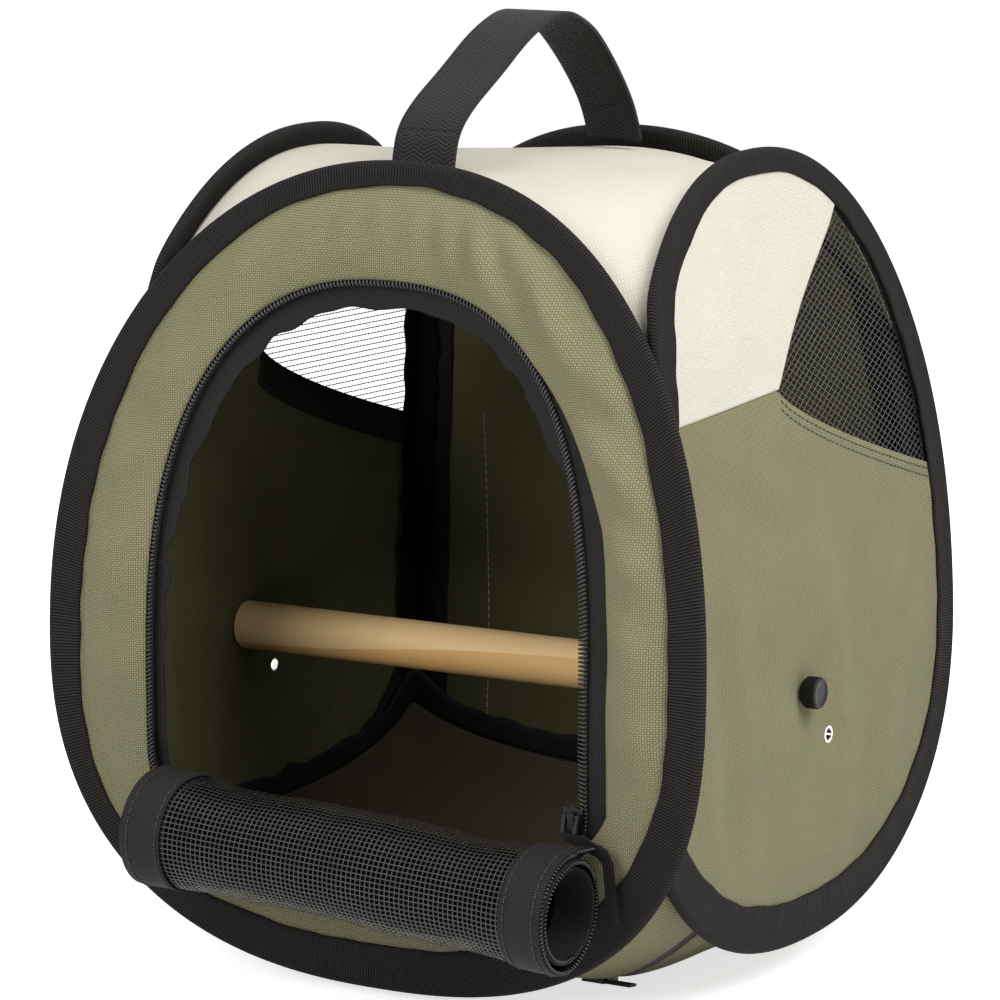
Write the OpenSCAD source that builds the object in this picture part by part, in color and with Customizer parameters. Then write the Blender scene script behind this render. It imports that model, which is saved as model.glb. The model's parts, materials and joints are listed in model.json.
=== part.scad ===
// Pop-up travel carrier for a small bird, standing open with its mesh door rolled down.
// Millimetres. Origin: middle of the footprint, at the height that the floor stands on.
// +Z is up, the doorway faces -Y, and +X is the right-hand side seen from the front.

/* [Hoops] */
// Outer width of the front hoop
front_hoop_w = 270; // [256:2:284]
// Height of the top of the front and back hoops
hoop_top = 294; // [282:2:310]
// Height of the lowest point of the front and back hoops
hoop_bottom = 2.6; // [1.6:0.2:5]
// Height at which the hoops are widest
hoop_mid = 122; // [114:1:130]
// Outer half length of the side hoops, back of the perch
side_hoop_back = 121.7; // [117:0.5:126]
// Outer half length of the side hoops towards the door, before the front hoop stops them
side_hoop_front = 119; // [115:0.5:123]
// Height of the top of the side hoops
side_hoop_top = 296.4; // [285:0.4:310]
// Height of the lowest point of the side hoops
side_hoop_bottom = 13.4; // [8:0.4:18]
// Outer width of the back hoop, before the side hoops stop it
back_hoop_w = 262; // [252:2:272]
// Diameter of the spring wire in each hoop
wire_d = 2.2; // [1.8:0.1:2.4]

/* [Binding] */
// Width of the hoop binding at the sides
band_w = 14; // [12:0.5:16]
// Share of that width which the binding keeps at the top of a hoop
band_top_share = 0.64; // [0.55:0.01:0.8]
// Share of that width which the binding takes at the bottom of a hoop
band_bottom_share = 1.22; // [1:0.02:1.35]
// Thickness of the binding tape
tape_t = 0.85; // [0.7:0.05:1]

/* [Shell] */
// Distance from the middle to the front and back panels, at the widest height
panel_y = 107; // [102:0.5:112]
// Distance from the middle to the side panels, at the widest height
panel_x = 118; // [113:0.5:120]
// Thickness of the Oxford cloth panels
cloth_t = 1; // [0.8:0.1:1.1]
// Thickness of the window and door mesh
mesh_t = 0.6; // [0.5:0.1:0.8]
// Height of the middle of the roof
roof_z = 288.5; // [286:0.5:292]
// How far the front panel swells out between its hoop and the doorway
front_swell = 4; // [2:0.5:6]

/* [Doorway] */
// Width of the doorway between the zip rows
doorway_w = 182; // [172:1:188]
// Height of the top of the doorway
doorway_top = 253; // [244:1:258]
// Height of the sill
doorway_sill = 62; // [58:1:68]
// How far the doorway sits to the left of the middle
doorway_shift = 1.5; // [0:0.5:5]
// Width of bare zip tape beside the teeth on the doorway's right leg
leg_tape_w = 7.5; // [4:0.5:9]
// Width of the row of coil teeth
teeth_w = 2.6; // [2.2:0.1:3]
// Width of the black facing inside the arch
facing_w = 11; // [8:0.5:14]

/* [Door roll] */
// Outer diameter of the rolled mesh door
roll_d = 40; // [36:0.5:42]
// How much narrower than its doorway the rolled door is
door_short = 11; // [7:0.5:14]
// Turns in the roll
roll_turns = 2; // [1:1:3]
// Width of the tape sleeve at each end of the roll
sleeve_w = 16; // [12:1:20]
// Height of the left end of the roll's axis
roll_left_z = 58; // [56:0.5:60]
// Drop of the roll from its left end to its right end
roll_drop = 9.5; // [4:0.5:12]
// How far the roll hangs to the right of the middle
roll_shift = 10; // [6:0.5:12]

/* [Windows] */
// Height of the seam between the side panel and its cream upper part
seam_z = 208; // [200:1:214]
// Height of the window's lower corner at the back of the side panel
window_low_z = 170; // [160:1:178]
// Distance forward from the middle to the window's front corner
window_front_y = 10; // [4:1:20]
// Distance back from the middle to the cream part's corner at the hoop
cream_back_y = 48; // [40:1:56]
// Rows of gaps in the window net
net_rows = 8; // [5:1:9]
// Columns of gaps in the window net
net_columns = 13; // [8:1:15]
// Width of the tape inside the window's lower edge
window_tape_w = 13; // [9:0.5:16]

/* [Pocket] */
// Width of the flat pocket on the back
pocket_w = 161; // [140:1:170]
// Height of the pocket's open edge
pocket_top = 178; // [160:1:190]
// Height of the pocket's bottom seam
pocket_bottom = 46; // [42:1:56]

/* [Handle] */
// Width of the handle webbing
strap_w = 25; // [20:1:30]
// Thickness of the handle webbing
strap_t = 1.8; // [1.4:0.1:2.4]
// Height of the top of the handle
handle_top = 342; // [335:1:352]
// Distance from the middle to each stitched end of the handle
handle_foot_y = 68; // [64:0.5:71]
// Height at which the handle starts to swing
handle_pivot_z = 303; // [302:0.5:306]

/* [Perch] */
// Diameter of the wooden perch
perch_d = 18; // [14:0.5:22]
// Height of the perch
perch_z = 106; // [98:0.5:114]
// Distance forward from the middle to the perch
perch_y = 6.5; // [0:0.5:12]
// Diameter of the screw that holds each end of the perch
screw_d = 4; // [3:0.1:4.4]
// Length of screw inside the perch
screw_hold = 12; // [9:0.5:16]
// Diameter of the thumb knobs
knob_d = 11.5; // [10:0.5:14]
// Length of the thumb knobs
knob_l = 6.5; // [5.5:0.5:10]
// Outer diameter of the threaded inserts in the perch
insert_d = 7; // [6:0.1:8]

/* [Eyelets] */
// Outer diameter of the eyelets' flanges
eyelet_flange_d = 6.2; // [6:0.1:7.6]
// Clear hole through an eyelet
eyelet_bore_d = 4.4; // [4.1:0.1:4.8]
// Wall of an eyelet's barrel
eyelet_wall = 0.35; // [0.25:0.05:0.5]
// Drop from the perch to the lower eyelet
lower_eyelet_drop = 19; // [17:0.5:26]
// Distance back from the perch to the lower eyelet
lower_eyelet_back = 19; // [16:0.5:26]

/* [Floor] */
// Distance forward from the middle to the zip across the floor
floor_zip_y = 50; // [44:1:56]
// Width of the zip tape across the floor
floor_tape_w = 20; // [16:1:24]
// How far over the back hoop's foot the floor is sewn to the back panel
floor_back_lift = 28; // [20:1:32]
// How far over the side hoops' feet the floor is sewn to the side panels
floor_side_lift = 13; // [8:1:18]
// Width of the tape that stands round the floor's edge
edge_tape_w = 9; // [7:0.5:10]

/* [Sliders] */
// Width of a zip slider
slider_w = 7.6; // [6.8:0.1:9]
// Length of a zip slider
slider_l = 9; // [7:0.5:11]
// Thickness of a zip slider
slider_t = 5.4; // [5.1:0.1:6.2]
// Length of the door's pull tab
pull_l = 34; // [24:1:40]

/* [Hidden] */
$fn = 48;

// How the hoops lean: their planes draw in by this much per mm, and per mm squared, of height
front_lean = 0.028;
front_bow = 0.0008;
side_lean = 0.041;
side_bow = 0.00059;
// How far the side panels draw in from the middle towards the corners
side_hollow = 4;
// Exponents of the ovals, above and below the widest height
front_oval_up = 2.18;
front_oval_down = 2.44;
side_oval = 2.28;
door_oval_up = 2.45;
door_oval_down = 12;
// Stations round a hoop and round the doorway
hoop_steps = 48;
door_steps = 48;
// The wire's centre, in from the hoop's outer edge, and the running gap round it
wire_in = 2.6;
wire_gap = 0.08;
// Gap left between pieces that are sewn face to face
seam_gap = 0.1;
// Where the cloth's edge stops inside the binding
cloth_in = 5;
// Half thickness of the binding over the wire and along its legs
band_crown = wire_d / 2 + wire_gap + tape_t * 1.2;
band_gap = 0.25;
band_leg = cloth_t / 2 + band_gap + tape_t;
// How far in from a hoop's edge the roof and the floor are sewn on
cover_in = band_w * band_top_share;
floor_in = 10;
floor_z = 0.5 * cloth_t;

black = [0.09, 0.09, 0.09];
olive = [0.48, 0.48, 0.33];
cream = [0.93, 0.91, 0.84];
steel = [0.7, 0.7, 0.72];
brass = [0.75, 0.6, 0.35];
wood = [0.87, 0.72, 0.52];

// Signed volume of a closed surface, times six
function volume6(p, f) = let (v = [for (t = f) p[t[0]] * cross(p[t[1]], p[t[2]])])
    v * [for (i = v) 1];
// A closed surface, turned the right way out whichever way its points run
module solid(points, faces)
    polyhedron(points, volume6(points, faces) > 0 ? [for (t = faces) [t[2], t[1], t[0]]] : faces);
// A skin over a list of rings with the same number of points: a closed loop, or capped ends
module loft(rings, loop = false) {
    n = len(rings);
    m = len(rings[0]);
    points = [for (ring = rings) each ring];
    function at(i, j) = (i % n) * m + j % m;
    sides = [for (i = [0 : n - (loop ? 1 : 2)], j = [0 : m - 1])
        each [[at(i, j), at(i + 1, j), at(i + 1, j + 1)], [at(i, j), at(i + 1, j + 1), at(i, j + 1)]]];
    // A cap climbs the ring as a ladder, so a thin bent strip is capped without crossing itself
    function cap(i) = [for (j = [0 : floor(m / 2) - 1], k = [0, 1])
        let (a = j, b = j + 1, c = m - 2 - j, d = m - 1 - j)
        if (k == 0 ? b < c : b < d) k == 0 ? [at(i, b), at(i, c), at(i, d)] : [at(i, a), at(i, b), at(i, d)]];
    ends = loop ? [] : [each [for (t = cap(0)) t], each [for (t = cap(n - 1)) [t[2], t[1], t[0]]]];
    solid(points, concat(sides, ends));
}
// A sheet over a grid of (u, v), with at(u, v, n) giving the point n out from its middle face
module sheet(at, us, vs, thick, loop = false)
    loft([for (u = us) concat([for (v = vs) at(u, v, thick / 2)],
        [for (i = [len(vs) - 1 : -1 : 0]) at(u, vs[i], -thick / 2)])], loop);
function spread(a, b, n) = [for (i = [0 : n]) a + (b - a) * i / n];
function mix(a, b, k) = a + (b - a) * k;

// Radius of a two-part oval at an angle
function oval_r(t, w, up, down, n_up, n_down) =
    let (s = sin(t), h = s >= 0 ? up : down, n = s >= 0 ? n_up : n_down)
    pow(pow(abs(cos(t)) / w, n) + pow(abs(s) / h, n), -1 / n);
// Half width of an oval at a height h over its widest level
function oval_half(h, w, up, down, n_up, n_down) =
    let (n = h >= 0 ? n_up : n_down)
    w * pow(max(0.0001, 1 - pow(abs(h) / (h >= 0 ? up : down), n)), 1 / n);
// Height of an oval's arc over its widest level, at a distance x from its middle
function oval_rise(x, w, h, n) = h * pow(max(0.0001, 1 - pow(abs(x) / w, n)), 1 / n);

// The four faces of the shell: front and back planes bow inwards above and below the middle
function wall_y(z) = let (h = z - hoop_mid) panel_y - front_lean * h - front_bow * h * h;
function wall_x(y, z) = let (h = z - hoop_mid)
    panel_x - side_hollow * pow(y / side_hoop_back, 2) - side_lean * h - side_bow * h * h;
on_front = function(x, z, n = 0) [x, -wall_y(z) - n, z];
on_back = function(x, z, n = 0) [x, wall_y(z) + n, z];
on_side = function(y, z, n = 0) [wall_x(y, z) + n, y, z];

// How far in a point of the binding lies at an angle, when it is "inset" in at the sides
function inset_up(inset) = inset * band_top_share;
function inset_down(inset) = inset * band_bottom_share;
// A hoop's outline at an angle, drawn in by inset
front_edge = function(t, inset)
    let (r = oval_r(t, front_hoop_w / 2 - inset, hoop_top - hoop_mid - inset_up(inset),
        hoop_mid - hoop_bottom - inset_down(inset), front_oval_up, front_oval_down))
    [r * cos(t), hoop_mid + r * sin(t)];
// The side hoops tuck in behind the front hoop, and the back hoop tucks in between the side hoops
function tuck_y(z) = wall_y(z) - band_leg - band_crown - seam_gap;
function tuck_x(y, z) = wall_x(y, z) - band_leg - band_crown - seam_gap;
back_edge = function(t, inset)
    let (r = oval_r(t, back_hoop_w / 2 - inset, hoop_top - hoop_mid - inset_up(inset),
            hoop_mid - hoop_bottom - inset_down(inset), front_oval_up, front_oval_down),
        z = hoop_mid + r * sin(t), reach = tuck_x(wall_y(z), z) - inset)
    [sign(cos(t)) * min(abs(r * cos(t)), reach), z];
side_edge = function(t, inset)
    let (r = oval_r(t, (cos(t) > 0 ? side_hoop_back : side_hoop_front) - inset,
            side_hoop_top - hoop_mid - inset_up(inset),
            hoop_mid - side_hoop_bottom - inset_down(inset), side_oval, side_oval),
        z = hoop_mid + r * sin(t))
    [max(r * cos(t), inset - tuck_y(z)), z];
// Where the cloth of a side or of the back ends at a height
function side_cloth_back(z) = oval_half(z - hoop_mid, side_hoop_back - cloth_in,
    side_hoop_top - hoop_mid - inset_up(cloth_in),
    hoop_mid - side_hoop_bottom - inset_down(cloth_in), side_oval, side_oval);
function side_cloth_front(z) = min(tuck_y(z) - cloth_in, side_cloth_back(z)
    * (side_hoop_front - cloth_in) / (side_hoop_back - cloth_in));
function back_cloth(z) = min(tuck_x(wall_y(z), z) - cloth_in,
    oval_half(z - hoop_mid, back_hoop_w / 2 - cloth_in, hoop_top - hoop_mid - inset_up(cloth_in),
        hoop_mid - hoop_bottom - inset_down(cloth_in), front_oval_up, front_oval_down));

wire_room = wire_d / 2 + 3 * wire_gap;
// Tape folded round the wire, with the cloth's edge between its two legs
band_profile = [[band_w, band_leg], [wire_in + 1, band_crown], [0, band_crown * 0.45],
    [0, -band_crown * 0.45], [wire_in + 1, -band_crown], [band_w, -band_leg],
    [band_w, tape_t - band_leg], [cloth_in - 0.3, tape_t - band_leg],
    [wire_in, -wire_room], [wire_in - 0.75 * wire_room, -0.75 * wire_room], [wire_in - wire_room, 0],
    [wire_in - 0.75 * wire_room, 0.75 * wire_room], [wire_in, wire_room],
    [cloth_in - 0.3, band_leg - tape_t], [band_w, band_leg - tape_t]];
wire_profile = [for (a = [30 : 60 : 330]) [wire_in, 0] + wire_d / 2 * [cos(a), sin(a)]];
// A profile of (inset, out) points carried round a hoop
module round_hoop(edge, face, profile)
    loft([for (i = [0 : hoop_steps - 1]) [for (p = profile)
        let (e = edge((i + 0.5) * 360 / hoop_steps, p[0])) face(e[0], e[1], p[1])]], loop = true);

module front_hoop_wire() color(steel) round_hoop(front_edge, on_front, wire_profile);
module front_hoop_binding() color(black) round_hoop(front_edge, on_front, band_profile);
module back_hoop_wire() color(steel) round_hoop(back_edge, on_back, wire_profile);
module back_hoop_binding() color(black) round_hoop(back_edge, on_back, band_profile);
module right_hoop_wire() color(steel) round_hoop(side_edge, on_side, wire_profile);
module right_hoop_binding() color(black) round_hoop(side_edge, on_side, band_profile);
module left_hoop_wire() mirror([1, 0, 0]) right_hoop_wire();
module left_hoop_binding() mirror([1, 0, 0]) right_hoop_binding();

// The doorway's outline at an angle, moved out by "out": straight legs under an arch
function door_edge(t, out = 0) =
    let (r = oval_r(t, doorway_w / 2 + out, doorway_top - hoop_mid + out,
        hoop_mid - doorway_sill + out, door_oval_up, door_oval_down))
    [r * cos(t) - doorway_shift, hoop_mid + r * sin(t)];
// Share of the bare tape's width at angle t: whole on the right leg, none over the arch
function bare(t) = let (a = t > 180 ? t - 360 : t) a < 0 ? min(1, max(0, (a + 32) / 8)) : min(1, max(0, (60 - a) / 30));
module front_panel() {
    at = function(t, v, n)
        let (a = door_edge(t, leg_tape_w * bare(t)), b = front_edge(t, band_w + 1.5), p = v > 1 ? front_edge(t, cloth_in) : mix(a, b, v))
        on_front(p[0], p[1], n + front_swell * sin(180 * min(1, v)) * min(1, max(0, 2.2 * sin(t) + 1)));
    // The doorway's lower corners are tight, so each has a station of its own
    step = 360 / door_steps;
    corners = [floor(213 / step), floor(326 / step)];
    color(olive) sheet(at, [for (i = [0 : door_steps - 1], k = [0, 1])
        if (k == 0 || i == corners[0] || i == corners[1]) (i + k / 2) * step], [0, 0.25, 0.55, 0.85, 1, 2],
        cloth_t, loop = true);
}
// The zip runs up the right leg, over the arch and down the left leg, from sill to sill
zip_foot = -30;
zip_angles = spread(zip_foot, 180 - zip_foot, 36);
tape_n = -cloth_t / 2 - tape_t / 2 - seam_gap;
module door_zip_tape() {
    at = function(t, v, n)
        let (e = door_edge(t, v > 0 ? v + (leg_tape_w + 1) * bare(t) : v)) on_front(e[0], e[1], n + tape_n);
    color(black) sheet(at, zip_angles, [0.3 - teeth_w, 6], tape_t);
}
teeth_t = 1.9;
module door_zip_teeth() {
    n0 = tape_n + tape_t / 2 + seam_gap;
    profile = [[-teeth_w, n0 + 0.2], [-teeth_w / 2, n0 + teeth_t], [-0.5, n0 + 0.2], [-teeth_w / 2, n0]];
    color([0.2, 0.2, 0.2]) loft([for (t = zip_angles) [for (p = profile)
        let (e = door_edge(t, p[0])) on_front(e[0], e[1], p[1])]]);
}
// Two metal stops under the ends of the teeth
module door_zip_stop()
    for (t = [zip_foot - 2.6, 180 - zip_foot + 2.6]) {
        e = door_edge(t, -teeth_w / 2);
        color(steel) translate(on_front(e[0], e[1], tape_n + tape_t / 2 + seam_gap + 1))
            rotate([90, 0, 0]) cylinder(d = teeth_w - 0.3, h = 2, center = true, $fn = 6);
    }
// A soft guard behind the zip, wide over the arch and narrow down the legs
module doorway_facing() {
    n1 = tape_n - tape_t - seam_gap;
    at = function(t, v, n) let (w = mix(0.45, 1, max(0, sin(t))) * facing_w, e = door_edge(t, 4 - v * (w + 4)))
        on_front(e[0], e[1], n + n1 - (v > 0 ? 1.6 + 1.4 * v : 0));
    color(black) sheet(at, zip_angles, [0, 0.3, 0.65, 1], 0.8);
}

// The roll hangs in front of the sill, its right end lower than its left
door_w = doorway_w - door_short;
roll_left_x = door_w / 2 - roll_shift;
roll_gap = 2;
roll_y = wall_y(roll_left_z) + cloth_t / 2 + roll_gap + roll_d / 2;
roll_tilt = asin(roll_drop / door_w);
module in_roll() translate([-roll_left_x, -roll_y, roll_left_z]) rotate([0, roll_tilt, 0]) children();
// Spiral strip of cloth as an outline in the roll's own section
function spiral(r_out, pitch, turns, t, start) =
    let (a = [for (i = [0 : turns * 16]) i * 22.5])
    concat([for (x = a) (r_out - pitch * x / 360) * [cos(start + x), sin(start + x)]],
        [for (i = [len(a) - 1 : -1 : 0]) (r_out - t - pitch * a[i] / 360) * [cos(start + a[i]), sin(start + a[i])]]);
roll_pitch = 2.4;
module door_roll_mesh()
    color(black) in_roll() translate([sleeve_w, 0, 0]) rotate([90, 0, 90])
        linear_extrude(door_w - 2 * sleeve_w) polygon(spiral(roll_d / 2, roll_pitch, roll_turns, mesh_t, 90));
// At each end the roll is faced with tape, wound with the same turns
sleeve_t = 1.1;
module roll_sleeve(x0, x1)
    in_roll() translate([x0, 0, 0]) rotate([90, 0, 90])
        linear_extrude(x1 - x0) polygon(spiral(roll_d / 2 + 0.3, roll_pitch, roll_turns, sleeve_t, 90));
module door_roll_left_sleeve() color(black) roll_sleeve(0, sleeve_w - seam_gap);
module door_roll_right_sleeve() color(black) roll_sleeve(door_w - sleeve_w + seam_gap, door_w);
// The zip's other row of teeth is sewn to the sleeves, so it winds round each end of the roll
module door_roll_teeth()
    color([0.2, 0.2, 0.2]) in_roll() for (x = [-teeth_t - seam_gap, door_w + seam_gap])
        translate([x, 0, 0]) rotate([90, 0, 90])
            linear_extrude(teeth_t) polygon(spiral(roll_d / 2 + 0.5, roll_pitch, 1, 1.5, 90));
// The last of the door comes up from the sill and goes over the top of the roll
neck_r = roll_d / 2 + 0.4 + mesh_t / 2;
module door_roll_neck() {
    sill_n = cloth_t / 2 + seam_gap + mesh_t / 2;
    foot_z = doorway_sill - 4;
    function low(u) = let (a = asin((doorway_sill + 1 - axis_z(u)) / neck_r)) max(a, 8);
    function axis_z(u) = roll_left_z - u * door_w * sin(roll_tilt);
    at = function(u, v, n)
        let (x = u * door_w - roll_left_x, a = mix(low(u), 90, v), r = neck_r + n,
            foot = on_front(x, foot_z, sill_n - n))
        v < 0 ? foot : [x, -roll_y + r * cos(a), axis_z(u) + r * sin(a)];
    color(black) sheet(at, spread(0.02, 0.98, 8), [-1, 0, 0.25, 0.5, 0.75, 1], mesh_t);
}

// The slider's two plates hold the teeth and the tape between them. A post at its top end joins
// the plates, on the door's side of the teeth, and a bridge on its face carries the pull.
slider_gap = 0.68;
slot_t = teeth_t + tape_t + 0.1 + 2 * slider_gap;
slider_z = doorway_sill + 14;
slider_x = door_edge(0)[0] - teeth_w - 1.7;
slider_y = 0.3 - wall_y(slider_z + 24);
bridge = [0, -slider_t / 2 - 0.9, slider_l * 0.2];
module door_slider()
    color([0.15, 0.15, 0.15]) translate([slider_x, slider_y, slider_z]) difference() {
        union() {
            cube([slider_w, slider_t, slider_l], center = true);
            translate([0, -slider_t / 2 - 0.8, 0]) cube([2.4, 2, slider_l * 0.7], center = true);
        }
        translate([0, 0, -3]) cube([slider_w + 2, slot_t, slider_l], center = true);
        for (s = [-1, 1]) translate([s * (slider_w / 2 + 0.7), 0, 0])
            cube([slider_w, slot_t, slider_l + 2], center = true);
        translate(bridge) rotate([0, 90, 0]) cylinder(d = 1.6, h = slider_w, center = true, $fn = 24);
    }
// Its pull: a wire loop through the bridge and a flat tab that hangs clear of the roll's end
pull_wire_d = 1.3;
pull_pivot = [slider_x, slider_y, slider_z] + bridge;
tab_x = door_w - roll_left_x + teeth_t + 1.5 - pull_pivot[0];
module door_slider_pull()
    color(black) translate(pull_pivot) {
        rotate([0, 90, 0]) cylinder(d = pull_wire_d, h = 6, center = true, $fn = 24);
        for (s = [-1, 1]) hull() {
            translate([s * 2.6, 0, 0]) cube(pull_wire_d, center = true);
            translate([s * 2.3, -1.8, -6]) cube(pull_wire_d, center = true);
        }
        translate([0, -1.8, -6]) cube([4.6 + pull_wire_d, pull_wire_d, pull_wire_d], center = true);
        translate([0, -1.1, 0]) rotate([90, 0, 0]) linear_extrude(1.4)
            polygon([[-1.6, -6.4], [-0.6, -5.5], [2.4, -5.5], [tab_x + 1, -9.6], [tab_x + 3.6, -14],
                [tab_x + 5.8, -pull_l], [tab_x + 2, -pull_l], [tab_x, -14.6], [tab_x - 2.4, -12.2], [-1.6, -7.8]]);
    }

// A cover sewn inside the tops or the feet of the four hoops, flat where it is let in
// The covers stop against the inner faces of the bindings
cover_gap = band_crown + seam_gap + cloth_t / 2;
cover_ease = 1.4;
function ease(a, flat) = max(0, (abs(a) - flat) / (1 - flat));
function cover(u, v, n, g) =
    let (up = g[0], inset = g[1], corner_z = g[2], mid_z = g[3], flat_u = g[4], flat_v = v < 0 ? g[5] : g[6],
        lift = v < 0 ? 0 : g[7],
        s = up ? 1 : -1,
        fw = front_hoop_w / 2 - inset, fh = (up ? hoop_top - hoop_mid : hoop_mid - hoop_bottom) - inset,
        fn = up ? front_oval_up : front_oval_down,
        sw = side_hoop_front - inset, sh = (up ? side_hoop_top - hoop_mid : hoop_mid - side_hoop_bottom) - inset,
        yc = wall_y(corner_z) - cover_gap,
        xc = wall_x(yc, corner_z) - cover_gap,
        za = oval_rise(u * xc, fw, fh, fn), za1 = oval_rise(xc, fw, fh, fn),
        zb = oval_rise(v * yc, sw, sh, side_oval), zb1 = oval_rise(yc, sw, sh, side_oval),
        a = (fh - za) / (fh - za1), b = (sh - zb) / (sh - zb1),
        front_z = hoop_mid + s * fh + lift, side_z = hoop_mid + s * sh + g[8],
        eu = ease(u, flat_u), ev = ease(v, flat_v), g1 = 1 - (1 - eu) * (1 - ev),
        z = mid_z + pow(ev, cover_ease) * (front_z - mid_z) * (1 - a) + pow(eu, cover_ease) * (side_z - mid_z) * (1 - b)
            + a * b * g1 * (corner_z - mid_z),
        edge_y = wall_y(mix(front_z, corner_z, a)) - cover_gap,
        edge_x = wall_x(v * yc, mix(side_z, corner_z, b)) - cover_gap)
    [u * edge_x, v * edge_y, z + n];
roof_corner_z = seam_z + 15;
roof_grid = [true, cover_in, roof_corner_z, roof_z, 0, 0, 0, 0, 0];
cover_steps = [-1, -0.93, -0.84, -0.7, -0.5, -0.25, 0, 0.25, 0.5, 0.7, 0.84, 0.93, 1];
module roof_panel()
    color(cream) sheet(function(u, v, n) cover(u, v, n, roof_grid), cover_steps, cover_steps, cloth_t);
floor_corner_z = 58;
floor_flat_u = 0.6;
floor_flat_front = 0.05;
floor_flat_back = 0.6;
floor_grid = [false, floor_in, floor_corner_z, floor_z, floor_flat_u, floor_flat_front, floor_flat_back,
    floor_back_lift, floor_side_lift];
floor_u = [-1, -0.94, -0.86, -0.75, -0.6, -0.3, 0, 0.3, 0.6, 0.75, 0.86, 0.94, 1];
// The zip's place as a share of the way from the middle to the front edge
zip_v = floor_zip_y / wall_y(floor_in);
zip_slit = 0.042;
floor_at = function(u, v, n) cover(u, v, n, floor_grid);
module floor_front_panel()
    color(olive) sheet(floor_at, floor_u, concat([-1, -0.94, -0.85], spread(-0.72, -zip_v - zip_slit, 2)), cloth_t);
module floor_back_panel()
    color(olive) sheet(floor_at, floor_u,
        concat([-zip_v + zip_slit, -0.3, -0.17, -floor_flat_front, 0.3, floor_flat_back], [0.72, 0.82, 0.9, 1]), cloth_t);
// Tape that stands against the walls all round the edge of the floor
module floor_edge_tape() {
    function side(k, a) = k == 0 ? [1, a] : k == 1 ? [-a, 1] : k == 2 ? [-1, -a] : [a, -1];
    at = function(t, v, n)
        let (k = floor(t), q = side(k, 2 * (t - k) - 1), p = floor_at(q[0], q[1], 0),
            out = [abs(q[0]) == 1 ? q[0] : 0, abs(q[1]) == 1 ? q[1] : 0, 0])
        p + out * n + [0, 0, cloth_t / 2 + tape_t + tape_gap + 0.2 + v * edge_tape_w];
    color(black) sheet(at, [for (k = [0 : 3], a = [0, 0.08, 0.2, 0.35, 0.5, 0.65, 0.8, 0.92]) k + a], [0, 1], 0.8,
        loop = true);
}
module floor_zip_tape()
    color(black) sheet(function(u, v, n) floor_at(u, v, n + cloth_t / 2 + tape_t / 2 + tape_gap),
        floor_u, [-zip_v - floor_tape_w / 2 / wall_y(floor_in), -zip_v + floor_tape_w / 2 / wall_y(floor_in)], tape_t);
floor_slope = (floor_at(0, -zip_v - 0.04, 0)[2] - floor_at(0, -zip_v + 0.04, 0)[2]) / (0.08 * wall_y(floor_in));
// The teeth hang under the tape, in the slit between the two parts of the floor
module in_floor_zip()
    translate(floor_at(0, -zip_v, 0)) rotate([-atan(floor_slope), 0, 0])
        translate([0, 0, cloth_t / 2 + seam_gap]) children();
floor_zip_l = 2 * floor_flat_u * floor_at(1, 0, 0)[0];
floor_teeth_v = teeth_w / 2 / wall_y(floor_in);
module floor_zip_teeth()
    color([0.2, 0.2, 0.2])
        sheet(function(u, v, n) floor_at(u, v, n + cloth_t / 2 - teeth_t / 2), spread(-floor_flat_u, floor_flat_u, 12),
            [-zip_v - floor_teeth_v, -zip_v + floor_teeth_v], teeth_t);
// The floor's slider is a low channel, because the floor stands close to what it rests on
floor_slider_x = floor_zip_l / 2 - slider_l / 2 - 4;
floor_slider_w = 6.2;
floor_slider_t = 3.3;
module floor_slider()
    color([0.15, 0.15, 0.15]) in_floor_zip() translate([floor_slider_x, 0, -floor_slider_t / 2 - 0.15]) difference() {
        cube([slider_l, floor_slider_w, floor_slider_t], center = true);
        translate([0, 0, floor_slider_t / 2]) cube([slider_l + 2, teeth_w + 2 * slider_gap, 2 * teeth_t + 0.3], center = true);
        translate([slider_l / 2 - 1.6, 0, -floor_slider_t / 2]) cube([1.6, 4, 0.1], center = true);
    }
// Its pull lies flat beyond the slider's end
module floor_slider_pull()
    color(black) in_floor_zip() translate([floor_slider_x + slider_l / 2 + 0.2, 0, -floor_slider_t + 0.5]) difference() {
        translate([5, 0, 0]) cube([10, 5, 1], center = true);
        translate([7.4, 0, 0]) cylinder(d = 2.4, h = 3, center = true, $fn = 24);
    }

// Handle webbing from front to back: its middle line goes through these shares of span and rise
handle_rise = handle_top - strap_t / 2 - handle_pivot_z;
handle_span = handle_foot_y - 2;
handle_knees = [[-1.14, -0.32], [-1, 0], [-0.8, 0.25], [-0.56, 0.46], [-0.27, 0.77], [0, 0.95], [0.17, 1],
    [0.47, 0.77], [0.72, 0.4], [0.93, 0], [1, -0.32]];
function handle_line(k) =
    let (n = len(handle_knees) - 3, i = min(n - 1, floor(k * n)), s = k * n - i,
        p = [for (j = [0 : 3]) handle_knees[i + j]],
        q = p[1] + s / 2 * (p[2] - p[0]) + s * s / 2 * (2 * p[0] - 5 * p[1] + 4 * p[2] - p[3])
            + s * s * s / 2 * (3 * p[1] - p[0] - 3 * p[2] + p[3]))
    [q[0] * handle_span, handle_pivot_z + q[1] * handle_rise];
module handle_strap() {
    function normal(k) = let (d = handle_line(min(1, k + 0.01)) - handle_line(max(0, k - 0.01)))
        [-d[1], d[0]] / norm(d);
    at = function(k, x, n) let (p = handle_line(k) + n * normal(k)) [x, p[0], p[1]];
    color(black) sheet(at, spread(0, 1, 20), [-strap_w / 2, strap_w / 2], strap_t);
}
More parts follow.
